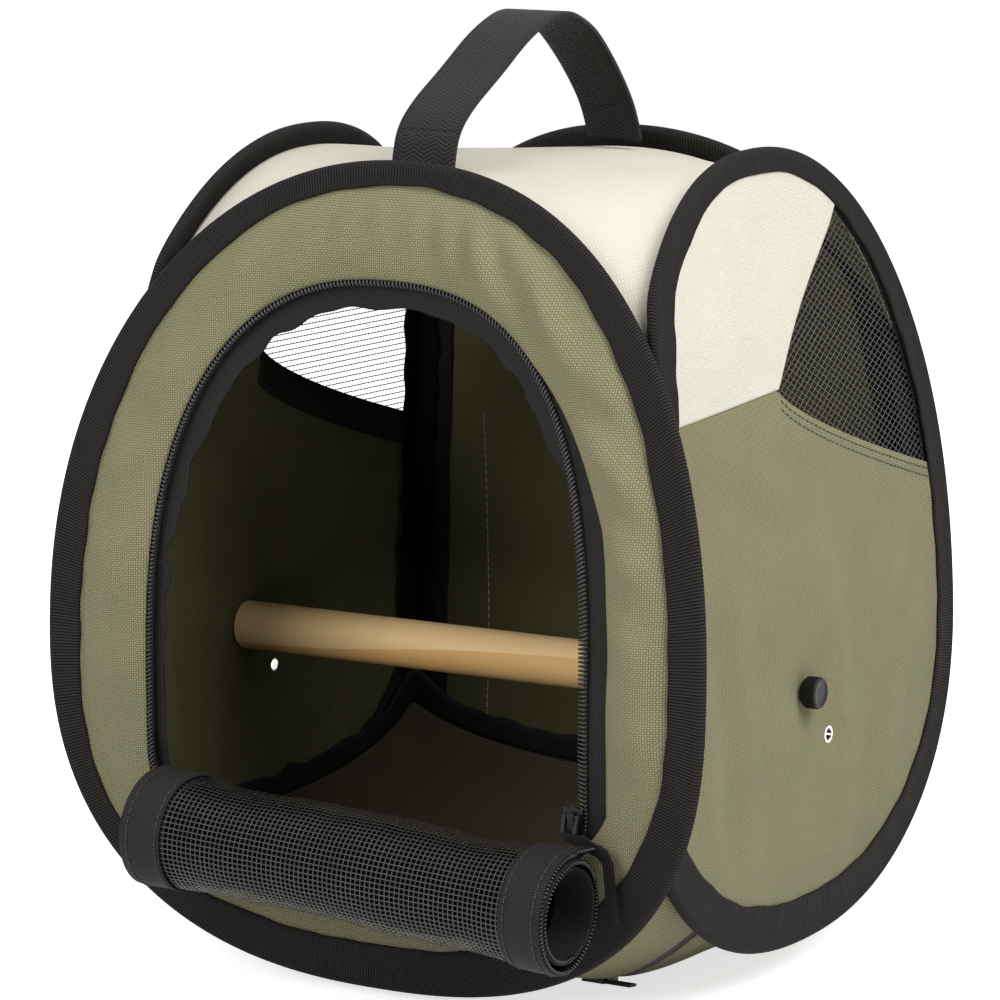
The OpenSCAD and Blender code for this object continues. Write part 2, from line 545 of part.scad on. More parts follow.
// The stitched ends of the handle, from the roof up to where it starts to swing
module handle_end(k, side) {
    top = handle_line(k);
    foot_z = roof_z + cloth_t / 2 + 0.1;
    rise = handle_pivot_z - foot_z - 0.4;
    foot_y = side * handle_foot_y;
    // The strap swings beside the stitched end, on its inner face
    top_y = top[0] + side * (strap_t + 0.25);
    color(black) translate([0, 0, foot_z]) multmatrix([[1, 0, 0, 0], [0, 1, (top_y - foot_y) / rise, foot_y],
        [0, 0, 1, 0]]) translate([0, 0, rise / 2]) cube([strap_w, strap_t, rise], center = true);
}
module handle_front_end() handle_end(0, -1);
module handle_back_end() handle_end(1, 1);

// The cream part ends at a slanting edge that climbs from the window's front corner to the hoop
cream_top_z = side_hoop_top - 30;
function cream_y(z) = mix(-window_front_y, cream_back_y, (z - seam_z - 5) / (cream_top_z - seam_z - 5));
function cream_z(y) = mix(seam_z + 5, cream_top_z, (y + window_front_y) / (cream_back_y + window_front_y));
window_back_y = side_cloth_back(window_low_z) - 1;
function window_z(y) = let (k = (y + window_front_y) / (window_back_y + window_front_y))
    mix(seam_z + 5, window_low_z, pow(max(0, k), 0.75));
seam_front_y = side_cloth_front(seam_z);
function seam_at(y) = y < -window_front_y
    ? mix(seam_z, seam_z + 5, (y + seam_front_y) / (seam_front_y - window_front_y)) : window_z(y);
function side_top_at(y) = hoop_mid + oval_rise(y, (y > 0 ? side_hoop_back : side_hoop_front) - cloth_in,
    side_hoop_top - hoop_mid - inset_up(cloth_in), side_oval);
// Where the eyelets sit in a side panel, as (y, z)
perch_hole = [-perch_y, perch_z];
lower_hole = [lower_eyelet_back - perch_y, perch_z - lower_eyelet_drop];
low_rows = [for (k = [0 : 8]) pow(k / 8, 1.7)];
module right_lower_panel() {
    z0 = side_hoop_bottom + inset_down(cloth_in) + 0.8;
    // A row is level at the hoop's foot and takes the slant of the seam at the top
    at = function(u, v, n)
        let (y1 = mix(-side_cloth_front(seam_z), side_cloth_back(window_low_z), u),
            z = mix(z0, seam_at(y1) - (u > 0.96 ? 0.2 : 0), v), y = mix(-side_cloth_front(z), side_cloth_back(z), u))
        on_side(mix(y, y1, pow(v, 3)), z, n);
    color(olive) difference() {
        sheet(at, concat(spread(0, 0.4, 3), [0.46, 0.52, 0.6, 0.7, 0.8, 0.9, 1]), low_rows, cloth_t);
        for (p = [perch_hole, lower_hole]) translate([panel_x, p[0], p[1]]) rotate([0, 90, 0])
            cylinder(d = eyelet_bore_d + 2 * eyelet_wall + 0.3, h = 12, center = true);
    }
}
module right_upper_panel() {
    z1 = side_hoop_top - inset_up(cloth_in) - 1;
    at = function(u, v, n)
        let (z = mix(seam_z + 5 * u + 3 * seam_gap, z1, v), back = min(side_cloth_back(z), cream_y(z)))
        on_side(mix(-side_cloth_front(z), back - seam_gap, u), z, n);
    color(cream) sheet(at, spread(0, 1, 6), concat(spread(0, 0.8, 5), [0.9, 0.96, 1]), cloth_t);
}
// The window is a net: strands along and across it, with a gap in every cell
module right_window_net() {
    a = -window_front_y + 1.5;
    b = window_back_y - 3;
    function column(i) = mix(a, b, i / (2 * net_columns));
    function at(i, j, n) =
        let (y = column(i), low = window_z(y) + 0.4, high = min(cream_z(y) - 0.6, side_top_at(y) - 0.8))
        on_side(y, mix(low, high, j / (2 * net_rows)), n);
    ni = 2 * net_columns + 1;
    nj = 2 * net_rows + 1;
    points = [for (i = [0 : ni - 1], j = [0 : nj - 1], k = [-1, 1]) at(i, j, k * mesh_t / 2)];
    function id(i, j, k) = (i * nj + j) * 2 + k;
    function filled(i, j) = i >= 0 && j >= 0 && i < ni - 1 && j < nj - 1 && !(i % 2 == 1 && j % 2 == 1);
    function quad(p, q, r, s) = [[p, q, r], [p, r, s]];
    faces = [for (i = [0 : ni - 2], j = [0 : nj - 2]) if (filled(i, j)) each concat(
        quad(id(i, j, 1), id(i + 1, j, 1), id(i + 1, j + 1, 1), id(i, j + 1, 1)),
        quad(id(i, j, 0), id(i, j + 1, 0), id(i + 1, j + 1, 0), id(i + 1, j, 0)),
        filled(i - 1, j) ? [] : quad(id(i, j, 0), id(i, j, 1), id(i, j + 1, 1), id(i, j + 1, 0)),
        filled(i + 1, j) ? [] : quad(id(i + 1, j, 0), id(i + 1, j + 1, 0), id(i + 1, j + 1, 1), id(i + 1, j, 1)),
        filled(i, j - 1) ? [] : quad(id(i, j, 0), id(i + 1, j, 0), id(i + 1, j, 1), id(i, j, 1)),
        filled(i, j + 1) ? [] : quad(id(i, j + 1, 0), id(i, j + 1, 1), id(i + 1, j + 1, 1), id(i + 1, j + 1, 0)))];
    color(black) solid(points, faces);
}
// Tape over the raw edge, inside, under the window
tape_gap = 0.3;
module right_window_tape() {
    at = function(y, v, n) on_side(y, window_z(y) - 1 - window_tape_w * (1 - v), n - cloth_t / 2 - 0.4 - tape_gap);
    color(black) sheet(at, spread(-window_front_y + 2, wall_y(window_low_z) - 5, 8), [0, 1], 0.8);
}
module left_lower_panel() mirror([1, 0, 0]) right_lower_panel();
module left_upper_panel() mirror([1, 0, 0]) right_upper_panel();
module left_window_net() mirror([1, 0, 0]) right_window_net();
module left_window_tape() mirror([1, 0, 0]) right_window_tape();

module back_panel() {
    z0 = hoop_bottom + inset_down(cloth_in) + 0.8;
    z1 = hoop_top - inset_up(cloth_in) - 1.2;
    at = function(u, v, n) let (z = mix(z0, z1, v)) on_back(u * back_cloth(z), z, n);
    color(olive) sheet(at, spread(-1, 1, 8), [for (k = [0 : 18]) (1 - cos(180 * k / 18)) / 2], cloth_t);
}
// A flat pocket outside the back panel, a little full along its open top
module back_pocket() {
    at = function(u, v, n) let (full = (1 - u * u) * v * 2.2)
        on_back(u * pocket_w / 2, mix(pocket_bottom, pocket_top, v), cloth_t + tape_gap + n + full);
    color(olive) sheet(at, spread(-1, 1, 6), spread(0, 1, 6), cloth_t);
}
// Tape over the seam in each back corner, inside the cabin
module right_corner_tape() {
    at = function(z, v, n)
        let (y = wall_y(z) - band_crown - 0.55, x = wall_x(wall_y(z), z) - band_crown - 0.55)
        v < 0 ? [x + 9 * v, y - n, z] : [x - n, y - 9 * v, z];
    color(black) sheet(at, spread(floor_corner_z + edge_tape_w + 3, roof_corner_z - 4, 10), [-1, -0.05, 0.05, 1], 0.8);
}
module left_corner_tape() mirror([1, 0, 0]) right_corner_tape();

// Perch between the side panels, clamped by a thumb screw through an eyelet at each end
perch_gap = 0.4;
perch_face = wall_x(-perch_y, perch_z);
eyelet_gap = 0.17;
eyelet_t = cloth_t + 2 * eyelet_wall + 2 * eyelet_gap + 0.06;
perch_half = perch_face - eyelet_t / 2 - perch_gap;
module both_ends() for (s = [0, 1]) mirror([s, 0, 0]) children();
module at_perch(x) translate([x, -perch_y, perch_z]) rotate([0, 90, 0]) children();
insert_l = screw_hold + 2;
module perch_dowel()
    color(wood) difference() {
        at_perch(0) cylinder(d = perch_d, h = 2 * perch_half, center = true);
        both_ends() at_perch(perch_half - insert_l) cylinder(d = insert_d, h = insert_l + 1);
    }
insert_fit = 0.05;
insert_bore_d = screw_d + 0.16;
module perch_inserts()
    color(brass) both_ends() at_perch(perch_half - insert_l) difference() {
        cylinder(d = insert_d - 2 * insert_fit, h = insert_l - 0.2);
        translate([0, 0, 1]) cylinder(d = insert_bore_d, h = insert_l + 2);
    }
knob_x = perch_face + eyelet_t / 2 + perch_gap;
// Half of the screw's length beyond the panel sits in the knob
screw_grip = knob_l * 0.6;
module right_perch_screw()
    color(steel) at_perch(perch_half - screw_hold) cylinder(d = screw_d, h = knob_x - perch_half + screw_hold + screw_grip);
module left_perch_screw() mirror([1, 0, 0]) right_perch_screw();
knob_edge = 0.7;
module right_knob()
    color(black) at_perch(knob_x) difference() {
        union() {
            cylinder(d1 = knob_d - 2 * knob_edge, d2 = knob_d, h = knob_edge);
            translate([0, 0, knob_edge]) cylinder(d = knob_d, h = knob_l - 2 * knob_edge);
            translate([0, 0, knob_l - knob_edge]) cylinder(d1 = knob_d, d2 = knob_d - 2 * knob_edge, h = knob_edge);
        }
        translate([0, 0, -1]) cylinder(d = screw_d + 0.12, h = screw_grip + 1.2);
    }
module left_knob() mirror([1, 0, 0]) right_knob();

// Two-part metal eyelet through the cloth
module eyelet(y, z)
    translate([wall_x(y, z), y, z]) rotate([0, 90, 0]) difference() {
        union() {
            cylinder(d = eyelet_bore_d + 2 * eyelet_wall, h = eyelet_t, center = true);
            for (s = [-1, 1]) translate([0, 0, s * (cloth_t / 2 + eyelet_gap + eyelet_wall / 2)])
                cylinder(d = eyelet_flange_d, h = eyelet_wall, center = true);
        }
        cylinder(d = eyelet_bore_d, h = 8, center = true);
    }
module perch_eyelets() color(steel) both_ends() eyelet(perch_hole[0], perch_hole[1]);
module lower_eyelets() color(steel) both_ends() eyelet(lower_hole[0], lower_hole[1]);

front_hoop_wire();
front_hoop_binding();
back_hoop_wire();
back_hoop_binding();
right_hoop_wire();
right_hoop_binding();
left_hoop_wire();
left_hoop_binding();
front_panel();
doorway_facing();
door_zip_tape();
door_zip_teeth();
door_zip_stop();
door_roll_mesh();
door_roll_neck();
door_roll_left_sleeve();
door_roll_right_sleeve();
door_roll_teeth();
door_slider();
door_slider_pull();
roof_panel();
handle_strap();
handle_front_end();
handle_back_end();
right_lower_panel();
right_upper_panel();
right_window_net();
right_window_tape();
left_lower_panel();
left_upper_panel();
left_window_net();
left_window_tape();
back_panel();
back_pocket();
right_corner_tape();
left_corner_tape();
floor_front_panel();
floor_back_panel();
floor_edge_tape();
floor_zip_tape();
floor_zip_teeth();
floor_slider();
floor_slider_pull();
perch_dowel();
perch_inserts();
right_perch_screw();
left_perch_screw();
right_knob();
left_knob();
perch_eyelets();
lower_eyelets();
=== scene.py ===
"""Looks of the bird travel carrier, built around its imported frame.

Lengths are millimetres while shapes are worked out, and metres in the scene.
+Z is up and the doorway faces -Y.
"""
from __future__ import annotations

import json
import logging
import math
from dataclasses import dataclass, field, replace
from enum import Enum
from typing import Callable, ClassVar, Optional, Sequence

import bpy
import numpy as np
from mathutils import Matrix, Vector

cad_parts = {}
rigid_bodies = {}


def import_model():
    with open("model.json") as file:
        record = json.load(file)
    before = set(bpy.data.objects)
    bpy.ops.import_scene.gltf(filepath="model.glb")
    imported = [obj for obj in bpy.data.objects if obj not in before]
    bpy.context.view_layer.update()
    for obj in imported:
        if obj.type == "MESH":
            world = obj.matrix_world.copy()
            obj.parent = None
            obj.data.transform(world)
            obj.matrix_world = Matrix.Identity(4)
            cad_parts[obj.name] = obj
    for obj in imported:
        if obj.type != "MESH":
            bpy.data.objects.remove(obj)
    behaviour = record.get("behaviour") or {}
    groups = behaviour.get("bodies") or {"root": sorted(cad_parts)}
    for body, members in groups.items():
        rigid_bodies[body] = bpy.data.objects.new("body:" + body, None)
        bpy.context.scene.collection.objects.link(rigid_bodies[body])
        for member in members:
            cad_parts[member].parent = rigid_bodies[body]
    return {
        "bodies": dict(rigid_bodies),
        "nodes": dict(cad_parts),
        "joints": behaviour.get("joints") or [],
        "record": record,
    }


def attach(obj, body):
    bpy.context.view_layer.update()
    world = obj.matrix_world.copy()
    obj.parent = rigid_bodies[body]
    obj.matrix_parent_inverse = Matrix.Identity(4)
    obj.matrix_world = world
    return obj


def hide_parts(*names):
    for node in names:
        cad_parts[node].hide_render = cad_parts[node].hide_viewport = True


LOG = logging.getLogger("carrier")
MM = 0.001
Array = np.ndarray
Colour = tuple[float, float, float]
TAU = 2 * math.pi

# Thickness of the cloth, of the tapes and of half a thread
CLOTH, TAPE, THREAD = 0.9, 0.7, 0.2

# Height at which the carrier is widest
MID = 122.0

# How far a hoop stops short of the wall that it is tucked behind
TUCK = 3.75

# How far in from a hoop's outline its cloth ends, inside the binding
TUCKED = 5.0

# (Y, height) of the perch's hole in a side, and of the spare one under it
PERCH_HOLE, SPARE_HOLE = (-6.5, 106.0), (12.5, 87.0)


class Slot(str, Enum):
    """Material slots of the record."""

    WIRE = "spring_wire"
    BINDING = "binding_tape"
    OLIVE = "olive_cloth"
    CREAM = "cream_cloth"
    MESH = "black_mesh"
    COIL = "zip_coil"
    SLIDER = "slider_metal"
    PULL = "pull_tab"
    WEBBING = "webbing"
    WOOD = "perch_wood"
    BRASS = "insert_brass"
    BRIGHT = "bright_metal"
    KNOB = "knob_plastic"


def stack(*parts: Array | float) -> Array:
    """Joins broadcast coordinates into points along a last axis."""
    return np.stack(np.broadcast_arrays(*[np.asarray(p, float) for p in parts]), -1)


def mix(a: Array | float, b: Array | float, k: Array | float) -> Array:
    """Between a and b by the share k."""
    return a + (b - a) * k


def smooth(a: float, b: float, x: Array) -> Array:
    """0 on a's side, 1 on b's side, with a smooth step between."""
    k = np.clip((np.asarray(x) - a) / (b - a), 0, 1)
    return k * k * (3 - 2 * k)


def bump_at(x: Array, y: Array, cx: float, cy: float, sx: float, sy: float) -> Array:
    """A round hill of height 1 at (cx, cy), sx and sy wide."""
    return np.exp(-(((x - cx) / sx) ** 2) - ((y - cy) / sy) ** 2)


def waves(seed: int, low: float, high: float, count: int = 6) -> Callable[[Array], Array]:
    """A smooth random line, about -1 to 1.

    Args:
        seed: picks the line.
        low: shortest wavelength, mm.
        high: longest wavelength, mm.
        count: number of waves.

    Returns:
        The line as a function of distance in mm.
    """
    rng = np.random.default_rng(seed)
    k = TAU / rng.uniform(low, high, count)
    p = rng.uniform(0, TAU, count)
    return lambda x: sum(np.sin(np.asarray(x) * a + b) for a, b in zip(k, p)) / math.sqrt(count)


def ripples(seed: int, low: float, high: float, count: int = 8) -> Callable[[Array, Array], Array]:
    """A smooth random surface, about -1 to 1.

    Args:
        seed: picks the surface.
        low: shortest wavelength, mm.
        high: longest wavelength, mm.
        count: number of waves.

    Returns:
        The surface as a function of two distances in mm.
    """
    rng = np.random.default_rng(seed)
    k = TAU / rng.uniform(low, high, count)
    d, p = rng.uniform(0, TAU, count), rng.uniform(0, TAU, count)
    return lambda x, y: sum(
        np.sin((np.cos(e) * np.asarray(x) + np.sin(e) * np.asarray(y)) * a + b) for a, e, b in zip(k, d, p)
    ) / math.sqrt(count)


def finer(line: Array, centres: Sequence[float], reach: float = 0.024, count: int = 24) -> Array:
    """The values of line, with count more within reach of each centre."""
    return np.unique(np.concatenate([line] + [np.linspace(c - reach, c + reach, count) for c in centres]))


def travelled(path: Array, closed: bool = False) -> Array:
    """Distance travelled at each point of a path, and back at the first point if it is closed."""
    p = np.concatenate([path, path[:1]]) if closed else path
    return np.r_[0, np.cumsum(np.linalg.norm(np.diff(p, axis=0), axis=1))]


def resample(path: Array, step: float) -> Array:
    """The path with points about step apart.

    Args:
        path: points of the path.
        step: distance from point to point.

    Returns:
        The new points.
    """
    d = travelled(path)
    s = np.linspace(0, d[-1], max(2, int(round(d[-1] / step))) + 1)
    return np.stack([np.interp(s, d, path[:, i]) for i in range(3)], 1)


def soften(ring: Array) -> Array:
    """A closed path with each point drawn towards its two neighbours."""
    return (np.roll(ring, 1, 0) + ring * 2 + np.roll(ring, -1, 0)) / 4


def outline(t: Array, wide: Array | float, high: Array | float, power: Array | float) -> Array:
    """Distance to the outline of a rounded box at angle t; power 2 makes it an ellipse, and more a box."""
    return ((np.abs(np.cos(t)) / wide) ** power + (np.abs(np.sin(t)) / high) ** power) ** (-1 / power)


@dataclass(frozen=True)
class Oval:
    """Outline of a hoop: two half ovals that meet at the widest height.

    Attributes:
        width: half its width.
        bottom: height of its lowest point.
        top: height of its highest point.
        power_up: how square its upper half is; 2 is an ellipse.
        power_down: how square its lower half is.
    """

    width: float
    bottom: float
    top: float
    power_up: float
    power_down: float

    def reach(self, inset: float | Array) -> tuple[Array, Array]:
        """How far the oval drawn in by inset reaches over and under its widest height."""
        return self.top - MID - inset * 0.64, MID - self.bottom - inset * 1.22

    def radius(self, t: Array, inset: float | Array) -> Array:
        """Distance from the oval's middle at angle t, drawn in by inset at the sides.

        Args:
            t: angle, from the right and round by the top.
            inset: how far the oval is drawn in at its sides.

        Returns:
            The distance.
        """
        up, down = self.reach(inset)
        high = np.sin(t) >= 0
        power = np.where(high, self.power_up, self.power_down)
        return outline(t, self.width - inset, np.where(high, up, down), power)

    def half_width(self, z: Array, inset: float) -> Array:
        """Half width at height z of the oval drawn in by inset.

        Args:
            z: height.
            inset: how far the oval is drawn in at its sides.

        Returns:
            The half width.
        """
        up, down = self.reach(inset)
        power = np.where(z >= MID, self.power_up, self.power_down)
        share = np.clip(np.abs(z - MID) / np.where(z >= MID, up, down), 0, 0.9999)
        return (self.width - inset) * (1 - share**power) ** (1 / power)

    def rise(self, x: Array, inset: float) -> Array:
        """Height over the widest level of the upper arc, at distance x from the middle."""
        share = np.clip(np.abs(x) / (self.width - inset), 0, 0.9999)
        return self.reach(inset)[0] * (1 - share**self.power_up) ** (1 / self.power_up)


# The side hoops reach less far to the front, where they stop behind the front hoop
FRONT = Oval(135.0, 2.6, 294.0, 2.18, 2.44)
BACK = replace(FRONT, width=131.0)
SIDE = Oval(121.7, 13.4, 296.4, 2.28, 2.28)
SIDE_FORE = replace(SIDE, width=119.0)


def wall_y(z: Array | float) -> Array:
    """Distance of the front and back faces from the middle at height z."""
    h = np.asarray(z, float) - MID
    return 107.0 - 0.028 * h - 0.0008 * h * h


def wall_x(y: Array | float, z: Array | float) -> Array:
    """Distance of a side face from the middle at (y, z)."""
    h = np.asarray(z, float) - MID
    return 118.0 - 4.0 * (np.asarray(y, float) / SIDE.width) ** 2 - 0.041 * h - 0.00059 * h * h


def tuck_y(z: Array) -> Array:
    """Where the side hoops stop behind the front one."""
    return wall_y(z) - TUCK


def tuck_x(y: Array, z: Array) -> Array:
    """Where the back hoop stops between the side ones."""
    return wall_x(y, z) - TUCK


class Face(Enum):
    """The shell's four walls."""

    FRONT = "front"
    BACK = "back"
    RIGHT = "right"
    LEFT = "left"

    def at(self, a: Array, z: Array, n: Array | float = 0.0) -> Array:
        """A point on or near the wall.

        Args:
            a: X on the front and back, Y on the sides.
            z: height.
            n: distance out of the wall.

        Returns:
            The point.
        """
        if self is Face.FRONT:
            return stack(a, -wall_y(z) - n, z)
        if self is Face.BACK:
            return stack(a, wall_y(z) + n, z)
        side = 1.0 if self is Face.RIGHT else -1.0
        return stack(side * (wall_x(a, z) + n), a, z)


def side_radius(t: Array, inset: float) -> Array:
    """Radius of a side hoop's outline at angle t, drawn in by inset."""
    return np.where(np.cos(t) > 0, SIDE.radius(t, inset), SIDE_FORE.radius(t, inset))


def hoop_edge(face: Face, t: Array, inset: float) -> Array:
    """Point of a hoop's outline at angle t, drawn in by inset.

    Args:
        face: the wall that the hoop frames.
        t: angle, from the right or back and round by the top.
        inset: how far the outline is drawn in.

    Returns:
        The point.
    """
    if face is Face.FRONT:
        r = FRONT.radius(t, inset)
        return face.at(r * np.cos(t), MID + r * np.sin(t))
    if face is Face.BACK:
        r = BACK.radius(t, inset)
        z = MID + r * np.sin(t)
        reach = tuck_x(wall_y(z), z) - inset
        x = r * np.cos(t)
        return face.at(np.sign(x) * np.minimum(np.abs(x), reach), z)
    r = side_radius(t, inset)
    z = MID + r * np.sin(t)
    return face.at(np.maximum(r * np.cos(t), inset - tuck_y(z)), z)


@dataclass(frozen=True)
class Arch:
    """The doorway's outline: an arch over two legs and a sill.

    Attributes:
        half: half its width.
        top: height of its highest point.
        sill: height of the sill.
        shift: how far its middle lies to the left.
    """

    half: float = 91.0
    top: float = 253.0
    sill: float = 62.0
    shift: float = 1.5


DOORWAY = Arch()


def door_edge(t: Array, out: Array | float = 0.0) -> tuple[Array, Array]:
    """(x, z) of the doorway's outline at angle t, moved out by out.

    Args:
        t: angle, from the right and round by the top.
        out: distance out of the doorway.

    Returns:
        X and height of the point.
    """
    s = np.sin(t)
    high = np.where(s >= 0, DOORWAY.top - MID + out, MID - DOORWAY.sill + out)
    r = outline(t, DOORWAY.half + out, high, np.where(s >= 0, 2.45, 12.0))
    return r * np.cos(t) - DOORWAY.shift, MID + r * s


def bare(t: Array) -> Array:
    """Share of the bare zip tape's width at angle t: whole on the right leg, none over the arch.

    Args:
        t: angle round the doorway.

    Returns:
        The share.
    """
    a = np.degrees(np.asarray(t, float))
    a = np.where(a > 180, a - 360, a)
    return np.where(a < 0, np.clip((a + 32) / 8, 0, 1), np.clip((60 - a) / 30, 0, 1))


@dataclass(frozen=True)
class Cover:
    """Middle surface of the roof or the floor, hung between the four hoops.

    Attributes:
        up: whether it is the roof.
        inset: how far in from the hoops' outlines it is sewn.
        corner: height of its corners.
        middle: height of its middle.
        flat_side: share of the way to a side that stays level.
        flat_front: share of the way to the front that stays level.
        flat_back: share of the way to the back that stays level.
        back_lift: how much higher its back edge lies.
        side_lift: how much higher its side edges lie.
    """

    up: bool
    inset: float
    corner: float
    middle: float
    flat_side: float = 0.0
    flat_front: float = 0.0
    flat_back: float = 0.0
    back_lift: float = 0.0
    side_lift: float = 0.0

    GAP: ClassVar[float] = 2.8

    @staticmethod
    def arc(x: Array | float, wide: float, high: float, power: float) -> Array:
        """Height of a half oval at distance x from its middle."""
        return high * np.maximum(1e-4, 1 - (np.abs(x) / wide) ** power) ** (1 / power)

    def at(self, u: Array, v: Array) -> Array:
        """A point of the surface.

        Args:
            u: place from left to right, -1 to 1.
            v: place from the front to the back, -1 to 1.

        Returns:
            The point.
        """
        way = 1 if self.up else -1
        fh, sh = (h.reach(0.0)[0 if self.up else 1] - self.inset for h in (FRONT, SIDE))
        fw, sw = FRONT.width - self.inset, SIDE_FORE.width - self.inset
        fp, sp = (FRONT.power_up if self.up else FRONT.power_down), SIDE.power_up
        yc = float(wall_y(self.corner)) - self.GAP
        xc = float(wall_x(yc, self.corner)) - self.GAP
        a = (fh - self.arc(u * xc, fw, fh, fp)) / (fh - self.arc(xc, fw, fh, fp))
        b = (sh - self.arc(v * yc, sw, sh, sp)) / (sh - self.arc(yc, sw, sh, sp))
        fz = MID + way * fh + np.where(v < 0, 0.0, self.back_lift)
        sz = MID + way * sh + self.side_lift
        flat_v = np.where(v < 0, self.flat_front, self.flat_back)
        eu = np.maximum(0, (np.abs(u) - self.flat_side) / (1 - self.flat_side))
        ev = np.maximum(0, (np.abs(v) - flat_v) / (1 - flat_v))
        z = self.middle + ev**1.4 * (fz - self.middle) * (1 - a) + eu**1.4 * (sz - self.middle) * (1 - b)
        z = z + a * b * (1 - (1 - eu) * (1 - ev)) * (self.corner - self.middle)
        y = v * (wall_y(mix(fz, self.corner, a)) - self.GAP)
        return stack(u * (wall_x(v * yc, mix(sz, self.corner, b)) - self.GAP), y, z)


ROOF = Cover(True, 8.96, 223.0, 288.5)
FLOOR = Cover(False, 10.0, 58.0, 0.5, 0.6, 0.05, 0.6, 28.0, 13.0)


@dataclass
class Builder:
    """Collects faces of one mesh, in mm, with a UV map in mm.

    Attributes:
        name: the object's name.
        points: blocks of points.
        faces: corners of each face.
        uvs: the map's value at each face's corners.
        count: number of points so far.
    """

    name: str
    points: list[Array] = field(default_factory=list)
    faces: list[tuple[int, ...]] = field(default_factory=list)
    uvs: list[tuple[float, float]] = field(default_factory=list)
    count: int = 0

    def grid(self, p: Array, uv: Optional[Array] = None, loop_u: bool = False,
             loop_v: bool = False) -> "Builder":
        """Adds a surface over a grid of points.

        Args:
            p: the points, p[i, j].
            uv: the map, one row or column longer where the grid is closed, or None to measure the grid.
            loop_u: whether the last row joins the first.
            loop_v: whether the last column joins the first.

        Returns:
            The same builder.
        """
        nu, nv = p.shape[:2]
        mu, mv = nu - (not loop_u), nv - (not loop_v)
        i, j = (a.ravel() for a in np.meshgrid(np.arange(mu), np.arange(mv), indexing="ij"))
        corners = [(i, j), (i + 1, j), (i + 1, j + 1), (i, j + 1)]
        ids = np.stack([self.count + (a % nu) * nv + b % nv for a, b in corners], 1)
        if uv is None:
            uv = self.measured(p, loop_u, loop_v)
        maps = np.stack([uv[a, b] for a, b in corners], 1).reshape(-1, 2)
        self.points.append(p.reshape(-1, 3))
        self.count += nu * nv
        self.faces += map(tuple, ids.tolist())
        self.uvs += map(tuple, maps.tolist())
        return self

    @staticmethod
    def measured(p: Array, loop_u: bool, loop_v: bool) -> Array:
        """A map of a grid from the mean distances between its rows and between its columns.

        Args:
            p: the points, p[i, j].
            loop_u: whether the last row joins the first.
            loop_v: whether the last column joins the first.

        Returns:
            The map, mm.
        """
        q = np.concatenate([p, p[:1]]) if loop_u else p
        q = np.concatenate([q, q[:, :1]], 1) if loop_v else q
        du = np.linalg.norm(np.diff(q, axis=0), axis=2).mean(1)
        dv = np.linalg.norm(np.diff(q, axis=1), axis=2).mean(0)
        return stack(np.r_[0, np.cumsum(du)][:, None], np.r_[0, np.cumsum(dv)][None, :])

    def tube(self, path: Array, radius: float, sides: int) -> "Builder":
        """Adds a round rod with closed ends.

        Args:
            path: its middle line.
            radius: its radius, mm.
            sides: number of its sides.

        Returns:
            The same builder.
        """
        t = np.gradient(path, axis=0)
        t /= np.linalg.norm(t, axis=1, keepdims=True) + 1e-12
        ref = np.array([0.0, 0.0, 1.0]) if abs(t[:, 2]).max() < 0.95 else np.array([0.31, 0.95, 0.05])
        a = np.cross(t, ref)
        a /= np.linalg.norm(a, axis=1, keepdims=True) + 1e-12
        b = np.cross(t, a)
        ang = np.arange(sides) * TAU / sides
        ring = np.cos(ang)[None, :, None] * a[:, None] + np.sin(ang)[None, :, None] * b[:, None]
        base = self.count
        self.grid(path[:, None] + radius * ring, loop_v=True)
        last = base + (len(path) - 1) * sides
        for cap in (range(base + sides - 1, base - 1, -1), range(last, last + sides)):
            self.faces.append(tuple(cap))
            self.uvs += [(0.0, 0.0)] * sides
        return self

    def drop(self, spot: Sequence[float], reach: float) -> None:
        """Leaves out the faces whose middles lie within reach of a spot.

        Args:
            spot: the point, mm.
            reach: the distance, mm.
        """
        ids = np.array(self.faces)
        keep = np.linalg.norm(np.vstack(self.points)[ids].mean(1) - spot, axis=1) > reach
        self.faces = list(map(tuple, ids[keep].tolist()))
        self.uvs = list(map(tuple, np.asarray(self.uvs).reshape(-1, 4, 2)[keep].reshape(-1, 2).tolist()))

    def face_out(self) -> None:
        """Turns the faces so that they look away from the middle of the cabin."""
        ids = np.array(self.faces)
        p = np.vstack(self.points)[ids]
        normal = np.cross(p[:, 2] - p[:, 0], p[:, 3] - p[:, 1])
        if (normal * (p.mean(1) - np.array([0, 0, 150.0]))).sum() < 0:
            self.faces = list(map(tuple, ids[:, ::-1].tolist()))
            uvs = np.asarray(self.uvs).reshape(-1, 4, 2)[:, ::-1]
            self.uvs = list(map(tuple, uvs.reshape(-1, 2).tolist()))

    def build(self, material: bpy.types.Material, thick: float = 0.0,
              lining: Optional[bpy.types.Material] = None) -> bpy.types.Object:
        """Makes the object.

        Args:
            material: its material.
            thick: thickness given to an open sheet, mm.
            lining: material of the side that looks into the cabin.

        Returns:
            The linked object.
        """
        if lining is not None:
            self.face_out()
        mesh = bpy.data.meshes.new(self.name)
        mesh.from_pydata((np.vstack(self.points) * MM).tolist(), [], self.faces)
        layer = mesh.uv_layers.new(name="cloth")
        layer.data.foreach_set("uv", np.asarray(self.uvs, np.float32).ravel())
        mesh.polygons.foreach_set("use_smooth", [True] * len(mesh.polygons))
        mesh.update()
        obj = bpy.data.objects.new(self.name, mesh)
        bpy.context.scene.collection.objects.link(obj)
        mesh.materials.append(material)
        if thick:
            mod = obj.modifiers.new("cloth thickness", "SOLIDIFY")
            mod.thickness = thick * MM
            mod.offset = 0.0
            if lining is not None:
                mesh.materials.append(lining)
                mod.material_offset = 1
        return obj


